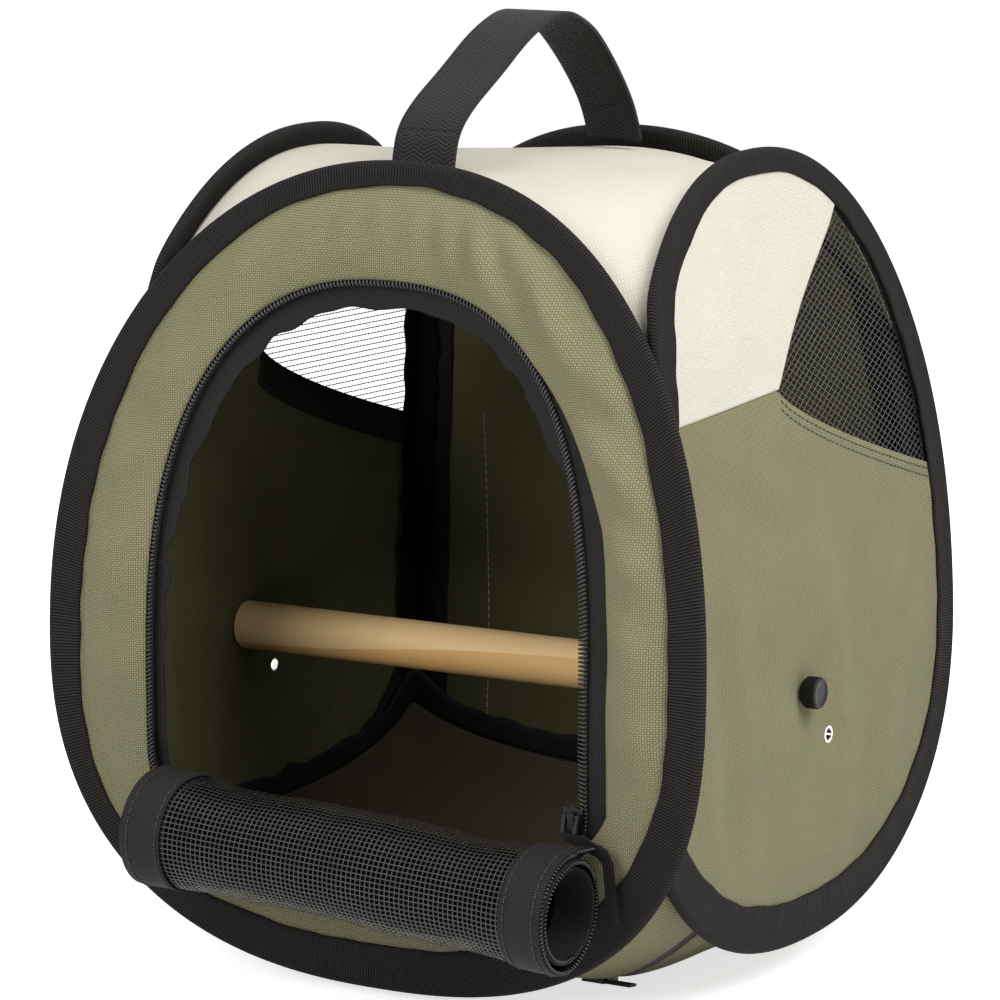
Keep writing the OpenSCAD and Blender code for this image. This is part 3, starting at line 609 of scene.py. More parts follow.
class Shader:
    """A node material under construction."""

    def __init__(self, name: str, rough: float, metal: float = 0.0, sheen: float = 0.0,
                 spec: float = 0.5) -> None:
        """Starts a material.

        Args:
            name: its name.
            rough: its roughness.
            metal: 1 for a metal.
            sheen: share of soft light at grazing angles.
            spec: strength of its shine.
        """
        self.material = bpy.data.materials.new(name)
        self.material.use_nodes = True
        self.tree = self.material.node_tree
        self.bsdf = self.tree.nodes["Principled BSDF"]
        self.bsdf.inputs["Roughness"].default_value = rough
        self.bsdf.inputs["Metallic"].default_value = metal
        self.bsdf.inputs["Sheen Weight"].default_value = sheen
        self.bsdf.inputs["Specular IOR Level"].default_value = spec

    def node(self, kind: str, **values: object) -> bpy.types.Node:
        """A new node with the given attributes.

        Args:
            kind: the node's type.
            **values: its attributes.

        Returns:
            The node.
        """
        n = self.tree.nodes.new(kind)
        for key, value in values.items():
            setattr(n, key, value)
        return n

    def put(self, socket: bpy.types.NodeSocket, value: object) -> None:
        """Links an output to the socket, or sets the socket to a constant.

        Args:
            socket: the input to fill.
            value: another node's output, or a constant.
        """
        if isinstance(value, bpy.types.NodeSocket):
            self.tree.links.new(value, socket)
        else:
            socket.default_value = value

    def math(self, op: str, a: object, b: object = 0.0) -> bpy.types.NodeSocket:
        """A math node.

        Args:
            op: the operation.
            a: first value.
            b: second value, where the operation has one.

        Returns:
            The node's output.
        """
        n = self.node("ShaderNodeMath", operation=op)
        self.put(n.inputs[0], a)
        self.put(n.inputs[1], b)
        return n.outputs[0]

    def thread(self, along: object, size: float) -> bpy.types.NodeSocket:
        """Height of round threads side by side, each of the given size, 0 to 1."""
        return self.math("ABSOLUTE", self.math("SINE", self.math("MULTIPLY", along, math.pi / size)))

    def uv(self) -> tuple[bpy.types.NodeSocket, bpy.types.NodeSocket]:
        """The cloth map's two distances, in mm.

        Returns:
            The outputs of U and V.
        """
        s = self.node("ShaderNodeSeparateXYZ")
        self.put(s.inputs[0], self.node("ShaderNodeUVMap", uv_map="cloth").outputs[0])
        return s.outputs[0], s.outputs[1]

    def noise(self, scale: float, detail: float,
              stretch: Sequence[float] = (1, 1, 1)) -> bpy.types.NodeSocket:
        """Noise in the object's own space.

        Args:
            scale: fineness.
            detail: number of finer layers.
            stretch: how much finer along X, Y and Z.

        Returns:
            The noise, 0 to 1.
        """
        m = self.node("ShaderNodeMapping")
        self.put(m.inputs[0], self.node("ShaderNodeTexCoord").outputs["Object"])
        m.inputs["Scale"].default_value = tuple(stretch)
        n = self.node("ShaderNodeTexNoise")
        self.put(n.inputs["Vector"], m.outputs[0])
        n.inputs["Scale"].default_value = scale
        n.inputs["Detail"].default_value = detail
        return n.outputs["Fac"]

    def ramp(self, value: object, stops: Sequence[tuple[float, Colour]]) -> bpy.types.NodeSocket:
        """A colour ramp over the value.

        Args:
            value: what picks the colour.
            stops: value and colour of each stop.

        Returns:
            The colour.
        """
        n = self.node("ShaderNodeValToRGB")
        self.put(n.inputs[0], value)
        while len(n.color_ramp.elements) < len(stops):
            n.color_ramp.elements.new(0.5)
        for e, (pos, colour) in zip(n.color_ramp.elements, stops):
            e.position, e.color = pos, (*colour, 1.0)
        return n.outputs[0]

    def colour(self, value: object) -> "Shader":
        """Sets the base colour."""
        self.put(self.bsdf.inputs["Base Color"], (*value, 1.0) if isinstance(value, tuple) else value)
        return self

    def bump(self, height: object, depth: float) -> "Shader":
        """Bumps the surface.

        Args:
            height: the surface's height.
            depth: depth in mm at height 1.

        Returns:
            The same shader.
        """
        n = self.node("ShaderNodeBump")
        n.inputs["Strength"].default_value = 1.0
        n.inputs["Distance"].default_value = depth * MM
        self.put(n.inputs["Height"], height)
        self.put(self.bsdf.inputs["Normal"], n.outputs[0])
        return self

    def cell(self, size_u: float, size_v: float) -> bpy.types.NodeSocket:
        """sin(u) sin(v) over cells of the given size: its sign is a chequer and its size a pillow.

        Args:
            size_u: size of a cell along U, mm.
            size_v: size of a cell along V, mm.

        Returns:
            The product.
        """
        u, v = self.uv()
        a = self.math("SINE", self.math("MULTIPLY", u, math.pi / size_u))
        b = self.math("SINE", self.math("MULTIPLY", v, math.pi / size_v))
        return self.math("MULTIPLY", a, b)


def grey(v: float, tint: Sequence[float] = (1, 1, 1)) -> Colour:
    """A neutral colour with a tint."""
    return (v * tint[0], v * tint[1], v * tint[2])


@dataclass(frozen=True)
class Plain:
    """A finish of one colour.

    Attributes:
        name: the material's name.
        colour: its colour.
        rough: its roughness.
        metal: 1 for a metal.
        spec: strength of its shine.
    """

    name: str
    colour: Colour
    rough: float
    metal: float = 0.0
    spec: float = 0.5

    def make(self) -> bpy.types.Material:
        """Makes the material.

        Returns:
            The material.
        """
        return Shader(self.name, self.rough, self.metal, spec=self.spec).colour(self.colour).material


@dataclass(frozen=True)
class OxfordCloth:
    """Oxford cloth: pairs of threads over and under, about one millimetre each.

    Attributes:
        name: the material's name.
        colour: colour of its threads.
        dark: how much of the colour is left between the threads, as painted shade in the dips of the weave.
        deep: depth of the weave, mm.
    """

    name: str
    colour: Colour
    dark: float
    deep: float

    def make(self) -> bpy.types.Material:
        """Makes the material.

        Returns:
            The material.
        """
        s = Shader(self.name, 0.8, sheen=0.03, spec=0.2)
        cell = s.cell(0.82, 0.82)
        lift = s.math("POWER", s.math("ABSOLUTE", cell), 0.6)
        side = s.math("GREATER_THAN", cell, 0.0)
        patch = s.math("MULTIPLY", s.noise(35, 3), 0.16)
        uneven = s.math("ADD", s.math("MULTIPLY", side, 0.22), patch)
        # Colour follows the threads' height: painted shade between the threads and a painted highlight on
        # their tops, plus one thread family lighter and a random patchy tone.
        weave_shade_and_tone = s.math("ADD", s.math("MULTIPLY", lift, 0.62), uneven)
        light = 2.0 - self.dark if self.dark > 0.7 else 1.32
        low, high = (tuple(c * k for c in self.colour) for k in (self.dark, light))
        s.colour(s.ramp(weave_shade_and_tone, [(0.08, low), (0.62, self.colour), (1.0, tuple(min(0.9, c) for c in high))]))
        return s.bump(s.math("ADD", lift, s.math("MULTIPLY", side, 0.25)), self.deep).material


@dataclass(frozen=True)
class Grosgrain:
    """Ribbed binding tape: U runs along the tape, and its ribs lie across it.

    Attributes:
        rib: distance from rib to rib, mm.
        thread: distance from thread to thread along a rib, mm.
        deep: depth of the ribs, mm.
    """

    rib: float = 1.15
    thread: float = 0.6
    deep: float = 0.3

    def make(self) -> bpy.types.Material:
        """Makes the material.

        Returns:
            The material.
        """
        s = Shader("grosgrain tape", 0.7, spec=0.05)
        u, v = s.uv()
        fine = s.math("ADD", s.math("MULTIPLY", s.thread(v, self.thread), 0.45), 0.55)
        lift = s.math("MULTIPLY", s.math("POWER", s.thread(u, self.rib), 0.8), fine)
        # Rib tops painted lighter and the grooves near black: painted highlight and painted shade on the
        # ribs.
        s.colour(s.ramp(lift, [(0.15, grey(0.0015)), (1.0, grey(0.04, (1, 0.94, 0.87)))]))
        return s.bump(lift, self.deep).material


@dataclass(frozen=True)
class FineTape:
    """Fine-ribbed tape of the zips, sleeves and facings.

    Attributes:
        thread: distance from thread to thread along the tape, mm.
        rib: distance from rib to rib across it, mm.
        deep: depth of the ribs, mm.
    """

    thread: float = 0.6
    rib: float = 0.85
    deep: float = 0.1

    def make(self) -> bpy.types.Material:
        """Makes the material.

        Returns:
            The material.
        """
        s = Shader("zip tape", 0.6, spec=0.1)
        cell = s.math("ABSOLUTE", s.cell(self.thread, self.rib))
        # Raised threads painted lighter and the gaps near black: painted highlight and painted shade on the
        # weave.
        s.colour(s.ramp(cell, [(0.0, grey(0.004)), (1.0, grey(0.034, (1, 0.97, 0.92)))]))
        return s.bump(cell, self.deep).material


@dataclass(frozen=True)
class Webbing:
    """Handle webbing: U runs along it, with small slanting floats in rows across it.

    Attributes:
        row: distance from row to row, mm.
        zigzag: width over which the floats slant one way, mm.
        thread: distance from thread to thread across it, mm.
        deep: depth of the weave, mm.
    """

    row: float = 1.6
    zigzag: float = 4.2
    thread: float = 0.95
    deep: float = 0.35

    def make(self) -> bpy.types.Material:
        """Makes the material.

        Returns:
            The material.
        """
        s = Shader("webbing", 0.55, spec=0.1)
        u, v = s.uv()
        zig = s.math("MULTIPLY", s.math("PINGPONG", v, self.zigzag), 1.1)
        slant = s.math("ADD", s.math("MULTIPLY", u, math.pi / self.row), zig)
        wave = s.math("POWER", s.math("ABSOLUTE", s.math("SINE", slant)), 0.6)
        lift = s.math("MULTIPLY", wave, s.math("ADD", s.math("MULTIPLY", s.thread(v, self.thread), 0.5), 0.5))
        # Raised floats painted lighter and the dips near black: painted highlight and painted shade on the
        # weave.
        s.colour(s.ramp(lift, [(0.0, grey(0.002)), (1.0, grey(0.034, (1, 0.97, 0.95)))]))
        return s.bump(lift, self.deep).material


@dataclass(frozen=True)
class WindowNet:
    """See-through net with oblong holes.

    Attributes:
        pitch: distance from thread to thread along V, mm.
        thread: half width of a thread, mm.
        squeeze: how much thinner the threads are that cross U.
    """

    pitch: float = 2.2
    thread: float = 0.21
    squeeze: float = 1.5

    def make(self) -> bpy.types.Material:
        """Makes the material.

        Returns:
            The material.
        """
        s = Shader("window mesh", 0.5, spec=0.2)
        across, along = (s.math("PINGPONG", way, self.pitch / 2) for way in s.uv())
        near = s.math("MINIMUM", s.math("MULTIPLY", across, self.squeeze), along)
        s.colour(grey(0.055, (1.0, 0.96, 0.92)))
        s.put(s.bsdf.inputs["Alpha"], s.math("LESS_THAN", near, self.thread))
        return s.material


@dataclass(frozen=True)
class DoorMesh:
    """The door's mesh: round shiny threads about 1.9 mm apart.

    Attributes:
        shade: how far along the wound mesh its inner turns start, mm; they lie in the shade, close together,
            and are painted near black, opaque and almost without shine as painted shade.
        thread: half width of a thread, mm.
    """

    shade: float
    thread: float = 0.27

    def make(self) -> bpy.types.Material:
        """Makes the material.

        Returns:
            The material.
        """
        s = Shader("door mesh", 0.27, spec=0.36)
        u, v = s.uv()
        near = s.math("MINIMUM", s.math("PINGPONG", u, 0.97), s.math("PINGPONG", v, 0.92))
        round_off = s.math("POWER", s.math("DIVIDE", near, self.thread), 2.0)
        lift = s.math("SQRT", s.math("MAXIMUM", s.math("SUBTRACT", 1.0, round_off), 0.0))
        # The inner turns are painted near black, opaque and almost without shine: painted shade inside the
        # roll.
        under = s.math("GREATER_THAN", v, self.shade)
        s.colour(s.ramp(under, [(0.0, grey(0.02, (1, 0.97, 0.93))), (1.0, grey(0.0015))]))
        s.put(s.bsdf.inputs["Specular IOR Level"], s.math("SUBTRACT", 0.36, s.math("MULTIPLY", under, 0.35)))
        s.put(s.bsdf.inputs["Alpha"], s.math("MAXIMUM", s.math("LESS_THAN", near, 0.25), under))
        return s.bump(lift, 0.27).material


@dataclass(frozen=True)
class Pine:
    """Sanded softwood, its grain along X.

    Attributes:
        pale: colour of the wood.
        dark: colour of its grain.
    """

    pale: Colour = (0.95, 0.68, 0.35)
    dark: Colour = (0.80, 0.46, 0.17)

    def make(self) -> bpy.types.Material:
        """Makes the material.

        Returns:
            The material.
        """
        s = Shader("pine", 0.5, spec=0.35)
        grain = s.noise(60, 4, (0.12, 1.6, 1.6))
        rings = s.math("FRACT", s.math("MULTIPLY", s.noise(9, 1, (0.25, 2.2, 2.2)), 7.0))
        sharp = s.math("MULTIPLY", s.math("POWER", rings, 2.0), 0.35)
        both = s.math("ADD", s.math("MULTIPLY", grain, 0.55), sharp)
        s.colour(s.ramp(both, [(0.25, self.pale), (0.6, self.dark)]))
        return s.bump(grain, 0.05).material


class Materials:
    """Every material of the carrier: one for each record slot, and a few for pieces that share a slot."""

    def __init__(self) -> None:
        """Makes the materials."""
        finishes = {
            Slot.OLIVE: OxfordCloth("olive Oxford cloth", (0.262, 0.247, 0.137), 0.3, 0.25),
            Slot.CREAM: OxfordCloth("cream Oxford cloth", (0.63, 0.60, 0.515), 0.82, 0.08),
            Slot.BINDING: Grosgrain(),
            Slot.WEBBING: Webbing(),
            Slot.MESH: WindowNet(),
            Slot.COIL: Plain("zip coil", grey(0.012), 0.22),
            Slot.SLIDER: Plain("enamelled slider", grey(0.006), 0.3, spec=0.22),
            Slot.PULL: Plain("pull tab", grey(0.008), 0.45, spec=0.2),
            Slot.WOOD: Pine(),
            Slot.BRASS: Plain("brass", (0.7, 0.5, 0.2), 0.3, 1.0),
            Slot.BRIGHT: Plain("nickel", (0.8, 0.79, 0.76), 0.18, 1.0),
            Slot.WIRE: Plain("spring steel", (0.5, 0.5, 0.5), 0.35, 1.0),
            Slot.KNOB: Plain("knob plastic", grey(0.008), 0.42, spec=0.2),
        }
        self.by_slot = {slot: finish.make() for slot, finish in finishes.items()}
        self.tape = FineTape().make()
        # Corner tapes are near black and matt, darker than the zip tape: painted shade in the back corners.
        self.shaded_corner_tape = Plain("corner tape in painted shade", grey(0.005), 0.9, spec=0.05).make()
        # The cabin side of the olive pieces and of the cream roof is a much darker olive: painted shade of
        # the cabin's inside.
        self.lining = OxfordCloth("inner side of the olive cloth in painted shade", (0.115, 0.108, 0.048), 0.5, 0.15).make()
        self.floor = OxfordCloth("floor lining", (0.075, 0.060, 0.036), 0.5, 0.15).make()
        self.thread = Plain("dark thread", (0.035, 0.035, 0.025), 0.8).make()
        self.pale_thread = Plain("pale thread", (0.42, 0.40, 0.29), 0.7).make()
        self.black_thread = Plain("black thread", grey(0.02), 0.6).make()

    def __getitem__(self, slot: Slot) -> bpy.types.Material:
        """The material of a record slot."""
        return self.by_slot[slot]


@dataclass
class Part:
    """A sub-assembly: it builds its pieces and ties them to the frame.

    Attributes:
        mat: the carrier's materials.
    """

    mat: Materials

    LEAST_AREA: ClassVar[float] = 0.31

    def add(self, obj: bpy.types.Object, body: str, slot: Slot, *nodes: str) -> bpy.types.Object:
        """Ties a piece to its body and hides the nodes that it stands for.

        Args:
            obj: the piece.
            body: the body that it moves with.
            slot: its material slot; not used.
            *nodes: the nodes that it stands for, if any.

        Returns:
            The piece.
        """
        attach(obj, body)
        if nodes:
            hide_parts(*nodes)
        LOG.info("made %s on %s", obj.name, body)
        return obj

    def sheet(self, obj: bpy.types.Object, flat: tuple[float, float], held: str = "stretched") -> None:
        """Does nothing with the piece of cloth. The cut's area is taken from the piece's own mesh, up
        to the whole rectangle. A test of the mesh against that area says nothing of whether the cloth
        could be cut so.

        Args:
            obj: the piece, whose mesh is the cloth's middle surface; not used.
            flat: width and length of a rectangle round the cut, mm; not used.
            held: how it is held; not used.
        """

    @staticmethod
    def stitch(rows: Builder, path: Array, length: float, gap: float) -> None:
        """Adds a row of stitches along a path.

        Args:
            rows: the mesh that the stitches go into.
            path: the seam's line.
            length: length of a stitch, mm.
            gap: gap between two stitches, mm.
        """
        fine = 0.4
        p = resample(path, fine)
        step = int(round((length + gap) / fine))
        on = max(3, int(round(length / fine)) + 1)
        for i in range(0, len(p) - on, step):
            rows.tube(p[i:i + on], THREAD, 5)


@dataclass
class BareNodes(Part):
    """The frame's own nodes that stay shown: perch, sliders, screws and other hard pieces.

    Attributes:
        frame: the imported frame.
        rounded: width of the rounded edges of some nodes, mm.
    """

    frame: dict[str, object]
    rounded: dict[str, float] = field(default_factory=lambda: {
        "perch_dowel": 0.8, "door_slider": 0.5, "door_slider_pull": 0.35, "floor_slider": 0.4,
        "floor_slider_pull": 0.3, "door_zip_stop": 0.3})

    def build(self) -> None:
        """Gives every node its material and some their rounded edges."""
        slots = {e["node"]: e["material_slot"] for e in self.frame["record"]["subparts"]}
        for node, obj in self.frame["nodes"].items():
            obj.data.materials.clear()
            obj.data.materials.append(self.mat[Slot(slots[node])])
            if node in self.rounded:
                mod = obj.modifiers.new("soft edges", "BEVEL")
                mod.width = self.rounded[node] * MM
                mod.segments = 3
                mod.limit_method = "ANGLE"
                mod.angle_limit = math.radians(40)


@dataclass
class HoopBindings(Part):
    """Tapes folded over the wires of the four hoops.

    Attributes:
        band: how far a tape reaches in from the hoop's outline.
        cut: width of the tape laid flat.
        rim: width of the round part over the wire.
        wire_at: the wire's middle, from the outline.
        wire_round: radius of the tape round the wire.
        pinch: share of its width that the front tape loses where it is pulled tight.
        pinch_at: where that is, degrees round the hoop.
        steps: points round a hoop.
    """

    band: float = 14.0
    cut: float = 28.0
    rim: float = 4.2
    wire_at: float = 2.3
    wire_round: float = 2.15
    pinch: float = 0.34
    pinch_at: float = 214.0
    steps: int = 420

    def build(self) -> None:
        """Builds the four tapes."""
        for i, face in enumerate(Face):
            self.tape(face, 60 + 2 * i)

    def section(self) -> list[tuple[float, Optional[float], float]]:
        """The folded tape's outline.

        Returns:
            For each corner its reach from the rim, its share of the band beyond that, if any, and its height.
        """
        legs = [(1.0, 1.3), (0.93, 1.72), (0.75, 1.68), (0.45, 1.62), (0.2, 1.72), (0.05, 1.95)]
        slot = [(1.0, -0.6), (0.3, -0.6), (0.3, 0.6), (1.0, 0.6)]
        turn = np.radians(np.arange(65, 296, 21))
        r = self.wire_round
        over = [(self.wire_at + r * math.cos(a), None, r * math.sin(a)) for a in turn]
        front, back = [(self.rim, f, h) for f, h in legs], [(self.rim, f, -h) for f, h in reversed(legs)]
        return front + over + back + [(self.rim, f, h) for f, h in slot]

    def tape(self, face: Face, seed: int) -> None:
        """Builds one hoop's tape.

        Args:
            face: the wall that the hoop frames.
            seed: picks its small unevenness.
        """
        t = (np.arange(self.steps) + 0.5) * TAU / self.steps - math.pi / 2
        outer, inner = hoop_edge(face, t, 0.0), hoop_edge(face, t, self.band)
        for _ in range(6):
            outer, inner = soften(outer), soften(inner)
        gap = inner - outer
        width = np.linalg.norm(gap, axis=1)
        inward = gap / width[:, None]
        arc = travelled(outer, closed=True)
        out = np.cross(np.roll(outer, -1, 0) - np.roll(outer, 1, 0), inward)
        out /= np.linalg.norm(out, axis=1, keepdims=True)
        loose, puff = waves(seed, 18, 70)(arc[:-1]), waves(seed + 1, 9, 34)(arc[:-1])
        if face is Face.FRONT:
            width = width * (1 - self.pinch * np.exp(-(((np.degrees(t) - self.pinch_at) / 20) ** 2)))
        section = self.section()
        ring = np.zeros((self.steps, len(section), 3))
        for j, (base, share, height) in enumerate(section):
            reach = np.full(self.steps, base)
            lift = np.full(self.steps, height)
            if share is not None:
                reach = reach + share * (width - self.rim + 0.3 * loose)
                lift = lift * (1 + 0.1 * puff)
            ring[:, j] = outer + inward * reach[:, None] + out * lift[:, None]
        uv = stack(arc[:, None], travelled(ring[0], closed=True)[None, :])
        node = face.value + "_hoop_binding"
        obj = Builder(node + "_tape").grid(ring, uv, True, True).build(self.mat[Slot.BINDING])
        self.add(obj, "carrier", Slot.BINDING, node)
        self.sheet(obj, (self.cut, float(arc[-1])), "folded")


@dataclass(frozen=True)
class Fold:
    """Parallel folds in a patch of cloth.

    Attributes:
        a: the patch's middle along the wall.
        z: height of its middle.
        reach_a: its half width.
        reach_z: its half height.
        angle: direction across the folds, degrees from the level.
        wave: distance from fold to fold.
        height: height of the folds.
    """

    a: float
    z: float
    reach_a: float
    reach_z: float
    angle: float
    wave: float
    height: float

    def lift(self, a: Array, z: Array) -> Array:
        """How far the fold lifts the cloth.

        Args:
            a: place along the wall.
            z: height.

        Returns:
            The distance, mm.
        """
        turn = math.radians(self.angle)
        across = a * math.cos(turn) + z * math.sin(turn)
        hill = bump_at(a, z, self.a, self.z, self.reach_a, self.reach_z)
        return hill * np.cos(across * TAU / self.wave) * self.height


@dataclass
class FrontPanel(Part):
    """Olive cloth round the doorway, full between the zip and the hoop.

    Attributes:
        seam: gap between the doorway's line and the cloth over the arch.
        bare_tape: width of zip tape left bare on the right leg.
        bound: how far in from the hoop the binding starts.
        tucked: how far in from the hoop the cloth ends, inside the binding.
        fullness: how far the cloth stands out halfway.
        cut: rectangle round the flat cut.
        folds: gathers where the cloth was eased round the hoop.
    """

    seam: float = 0.3
    bare_tape: float = 7.3
    bound: float = 15.2
    tucked: float = 5.2
    fullness: float = 4.4
    cut: tuple[float, float] = (262, 285)
    folds: tuple[Fold, ...] = (
        Fold(66, 252, 30, 20, 32, 17, 2.3),
        Fold(34, 268, 22, 14, 15, 13, 1.4),
        Fold(96, 214, 18, 34, 62, 22, 1.8),
        Fold(108, 172, 12, 40, 78, 26, 1.2),
        Fold(-60, 256, 34, 18, 147, 24, 1.0),
        Fold(-104, 120, 12, 60, 95, 38, 1.0),
        Fold(104, 96, 12, 30, 98, 30, 1.0),
        Fold(-98, 200, 14, 30, 112, 26, 0.9),
        Fold(0, 274, 20, 10, 178, 15, 0.7),
    )

    def build(self) -> None:
        """Builds the panel."""
        t = np.linspace(0, TAU, 360, endpoint=False)[:, None] - math.pi / 2
        v = np.linspace(0, 1, 30)[None, :] ** 0.9
        tuck = np.array([[0.5, 1.0]])
        inner = self.seam + self.bare_tape * bare(t) + 0.35 * bare(t) * waves(9, 20, 60)(t * 90)
        dx, dz = door_edge(t, inner)
        leg = hoop_edge(Face.FRONT, t[:, 0], self.bound)
        hoop = hoop_edge(Face.FRONT, t[:, 0], self.tucked)
        x = np.concatenate([mix(dx, leg[:, None, 0], v), mix(leg[:, None, 0], hoop[:, None, 0], tuck)], 1)
        z = np.concatenate([mix(dz, leg[:, None, 2], v), mix(leg[:, None, 2], hoop[:, None, 2], tuck)], 1)
        full = self.rise(t, np.concatenate([v, tuck * 0 + 1], 1), x, z)
        uv = stack(x, z)
        uv = np.concatenate([uv, uv[:1]])
        piece = Builder("front_cloth").grid(Face.FRONT.at(x, z, full), uv, loop_u=True)
        obj = piece.build(self.mat[Slot.OLIVE], CLOTH, lining=self.mat.lining)
        self.add(obj, "carrier", Slot.OLIVE, "front_panel")
        self.sheet(obj, self.cut)

    def rise(self, t: Array, v: Array, x: Array, z: Array) -> Array:
        """How far the cloth stands out of the wall.

        Args:
            t: angle round the doorway.
            v: share of the way from the doorway to the hoop.
            x: distance to the right of the middle.
            z: height.

        Returns:
            The distance at each point.
        """
        high = np.clip(2.2 * np.sin(t) + 1, 0, 1)
        dome = np.sin(math.pi * v) ** 0.7
        full = (self.fullness + 0.8 * np.cos(t)) * dome * high + 0.8 * dome * (1 - high)
        for seed, amount, low, top in ((3, 0.55, 30, 90), (4, 0.22, 9, 22)):
            full = full + ripples(seed, low, top)(x, z) * amount * dome
        for fold in self.folds:
            full = full + fold.lift(x, z) * dome
        beside_roll = smooth(55, 75, x) * smooth(104, 78, z)
        return full * (1 - 0.75 * beside_roll)


@dataclass
class Doorway(Part):
    """Zip tape, coil teeth and the facing inside the arch.

    Attributes:
        start: where the zip starts, degrees round the doorway.
        end: where it ends.
        tape_in: how far the tape reaches inside the doorway's line.
        tape_out: how far it reaches outside.
        bare_more: how much further it reaches on the right leg.
        tape_cut: the tape laid flat.
        facing_cut: the facing laid flat.
    """

    start: float = -30.0
    end: float = 210.0
    tape_in: float = -2.0
    tape_out: float = 6.5
    bare_more: float = 8.0
    tape_cut: tuple[float, float] = (13, 620)
    facing_cut: tuple[float, float] = (17, 620)

    def build(self) -> None:
        """Builds the three pieces."""
        t = np.linspace(math.radians(self.start), math.radians(self.end), 360)[:, None]
        arc = travelled(Face.FRONT.at(*door_edge(t[:, 0])))[:, None]
        self.tape(t, arc)
        self.facing(t, arc)
        ends = math.radians(self.start + 0.5), math.radians(self.end - 0.5)
        build_coil(self, "door_teeth", "door_zip_teeth", self.line, ends, lambda s: 1.1 + 0.7 * bare(s))

    @staticmethod
    def line(s: Array, across: float) -> Array:
        """Point of the zip at angle s, across from its row of teeth."""
        return Face.FRONT.at(*door_edge(s, -0.75 - 1.0 * bare(s) + across), -0.15 + 0.5 * bare(s))

    def tape(self, t: Array, arc: Array) -> None:
        """Builds the zip tape.

        Args:
            t: angles round the doorway.
            arc: distance along the tape at each of them.
        """
        legs = smooth(0.2, 0.9, np.cos(t))
        reach = np.linspace(0, 1, 7)[None, :]
        out = mix(self.tape_in, self.tape_out + self.bare_more * bare(t), reach)
        p = Face.FRONT.at(*door_edge(t, out), -1.0 - 0.5 * reach * (1 - legs))
        obj = Builder("door_tape").grid(p, stack(arc, out)).build(self.mat.tape, TAPE)
        self.add(obj, "carrier", Slot.BINDING, "door_zip_tape")
        self.sheet(obj, self.tape_cut)

    def facing(self, t: Array, arc: Array) -> None:
        """Builds the facing, a soft flap behind the zip.

        Args:
            t: angles round the doorway.
            arc: distance along the facing at each of them.
        """
        wavy, flap = waves(11, 16, 44), waves(12, 18, 60)
        left = smooth(0.2, 0.8, -np.cos(t))
        wide = mix(4.6, 10.0, smooth(0.1, 0.95, np.sin(t))) + mix(0.5, 0.9, left) * wavy(arc)
        wide = mix(wide, -1.0, smooth(math.radians(48), math.radians(33), t))
        v = np.linspace(0, 1, 10)[None, :]
        hang = -2.1 - 1.5 * smooth(0, 0.3, v) - v * (1.1 + 0.7 * flap(arc) * mix(0.4, 1.0, left))
        p = Face.FRONT.at(*door_edge(t, 3.5 - v * (wide + 3.5)), hang)
        obj = Builder("door_facing").grid(p, stack(arc, v * (wide + 4))).build(self.mat.tape, TAPE)
        self.add(obj, "carrier", Slot.BINDING, "doorway_facing")
        self.sheet(obj, self.facing_cut)


def build_coil(part: Part, name: str, node: str, line: Callable[[Array, float], Array],
               ends: tuple[float, float], reach: Callable[[Array], Array], pitch: float = 1.5) -> None:
    """Builds one row of a coil zip: a wire wound in flat loops along a line.

    Args:
        part: the sub-assembly that it belongs to.
        name: the piece's name.
        node: the node that it stands for.
        line: point of the zip at a place along it and a distance across it, mm.
        ends: first and last place along the line.
        reach: half width of the loops at a place, mm.
        pitch: distance from loop to loop, mm.
    """
    loop_points = 12
    s = np.linspace(*ends, 4000)
    d = travelled(line(s, 0.0))
    turn = np.arange(int(d[-1] / pitch) * loop_points + 1) / loop_points
    pos = np.interp(turn * pitch, d, s)
    c, e = line(pos, 0.0), line(pos, 0.5)
    side = (e - c) / np.linalg.norm(e - c, axis=1, keepdims=True)
    ahead = np.gradient(c, axis=0)
    ahead /= np.linalg.norm(ahead, axis=1, keepdims=True)
    up = np.cross(ahead, side)
    wide, high = reach(pos) * np.cos(turn * TAU), 0.42 * reach(pos) * np.sin(turn * TAU)
    wire = Builder(name).tube(c + side * wide[:, None] + up * high[:, None], 0.36, 6)
    obj = wire.build(part.mat[Slot.COIL])
    part.add(obj, "carrier", Slot.COIL, node)


@dataclass
class Roof(Part):
    """Cream cloth let in between the tops of the hoops.

    Attributes:
        cut: rectangle round the flat cut.
    """

    cut: tuple[float, float] = (240, 226)

    def build(self) -> None:
        """Builds the roof."""
        u, v = np.linspace(-1, 1, 90)[:, None], np.linspace(-1, 1, 90)[None, :]
        p = ROOF.at(u, v)
        soft = (1 - u**8) * (1 - v**8)
        p[..., 2] += soft * (0.8 * ripples(21, 35, 120)(p[..., 0], p[..., 1]))
        piece = Builder("roof_cloth").grid(p, p[..., :2].copy())
        # Its underside takes the dark olive lining as painted shade.
        obj = piece.build(self.mat[Slot.CREAM], CLOTH, lining=self.mat.lining)
        self.add(obj, "carrier", Slot.CREAM, "roof_panel")
        self.sheet(obj, self.cut)


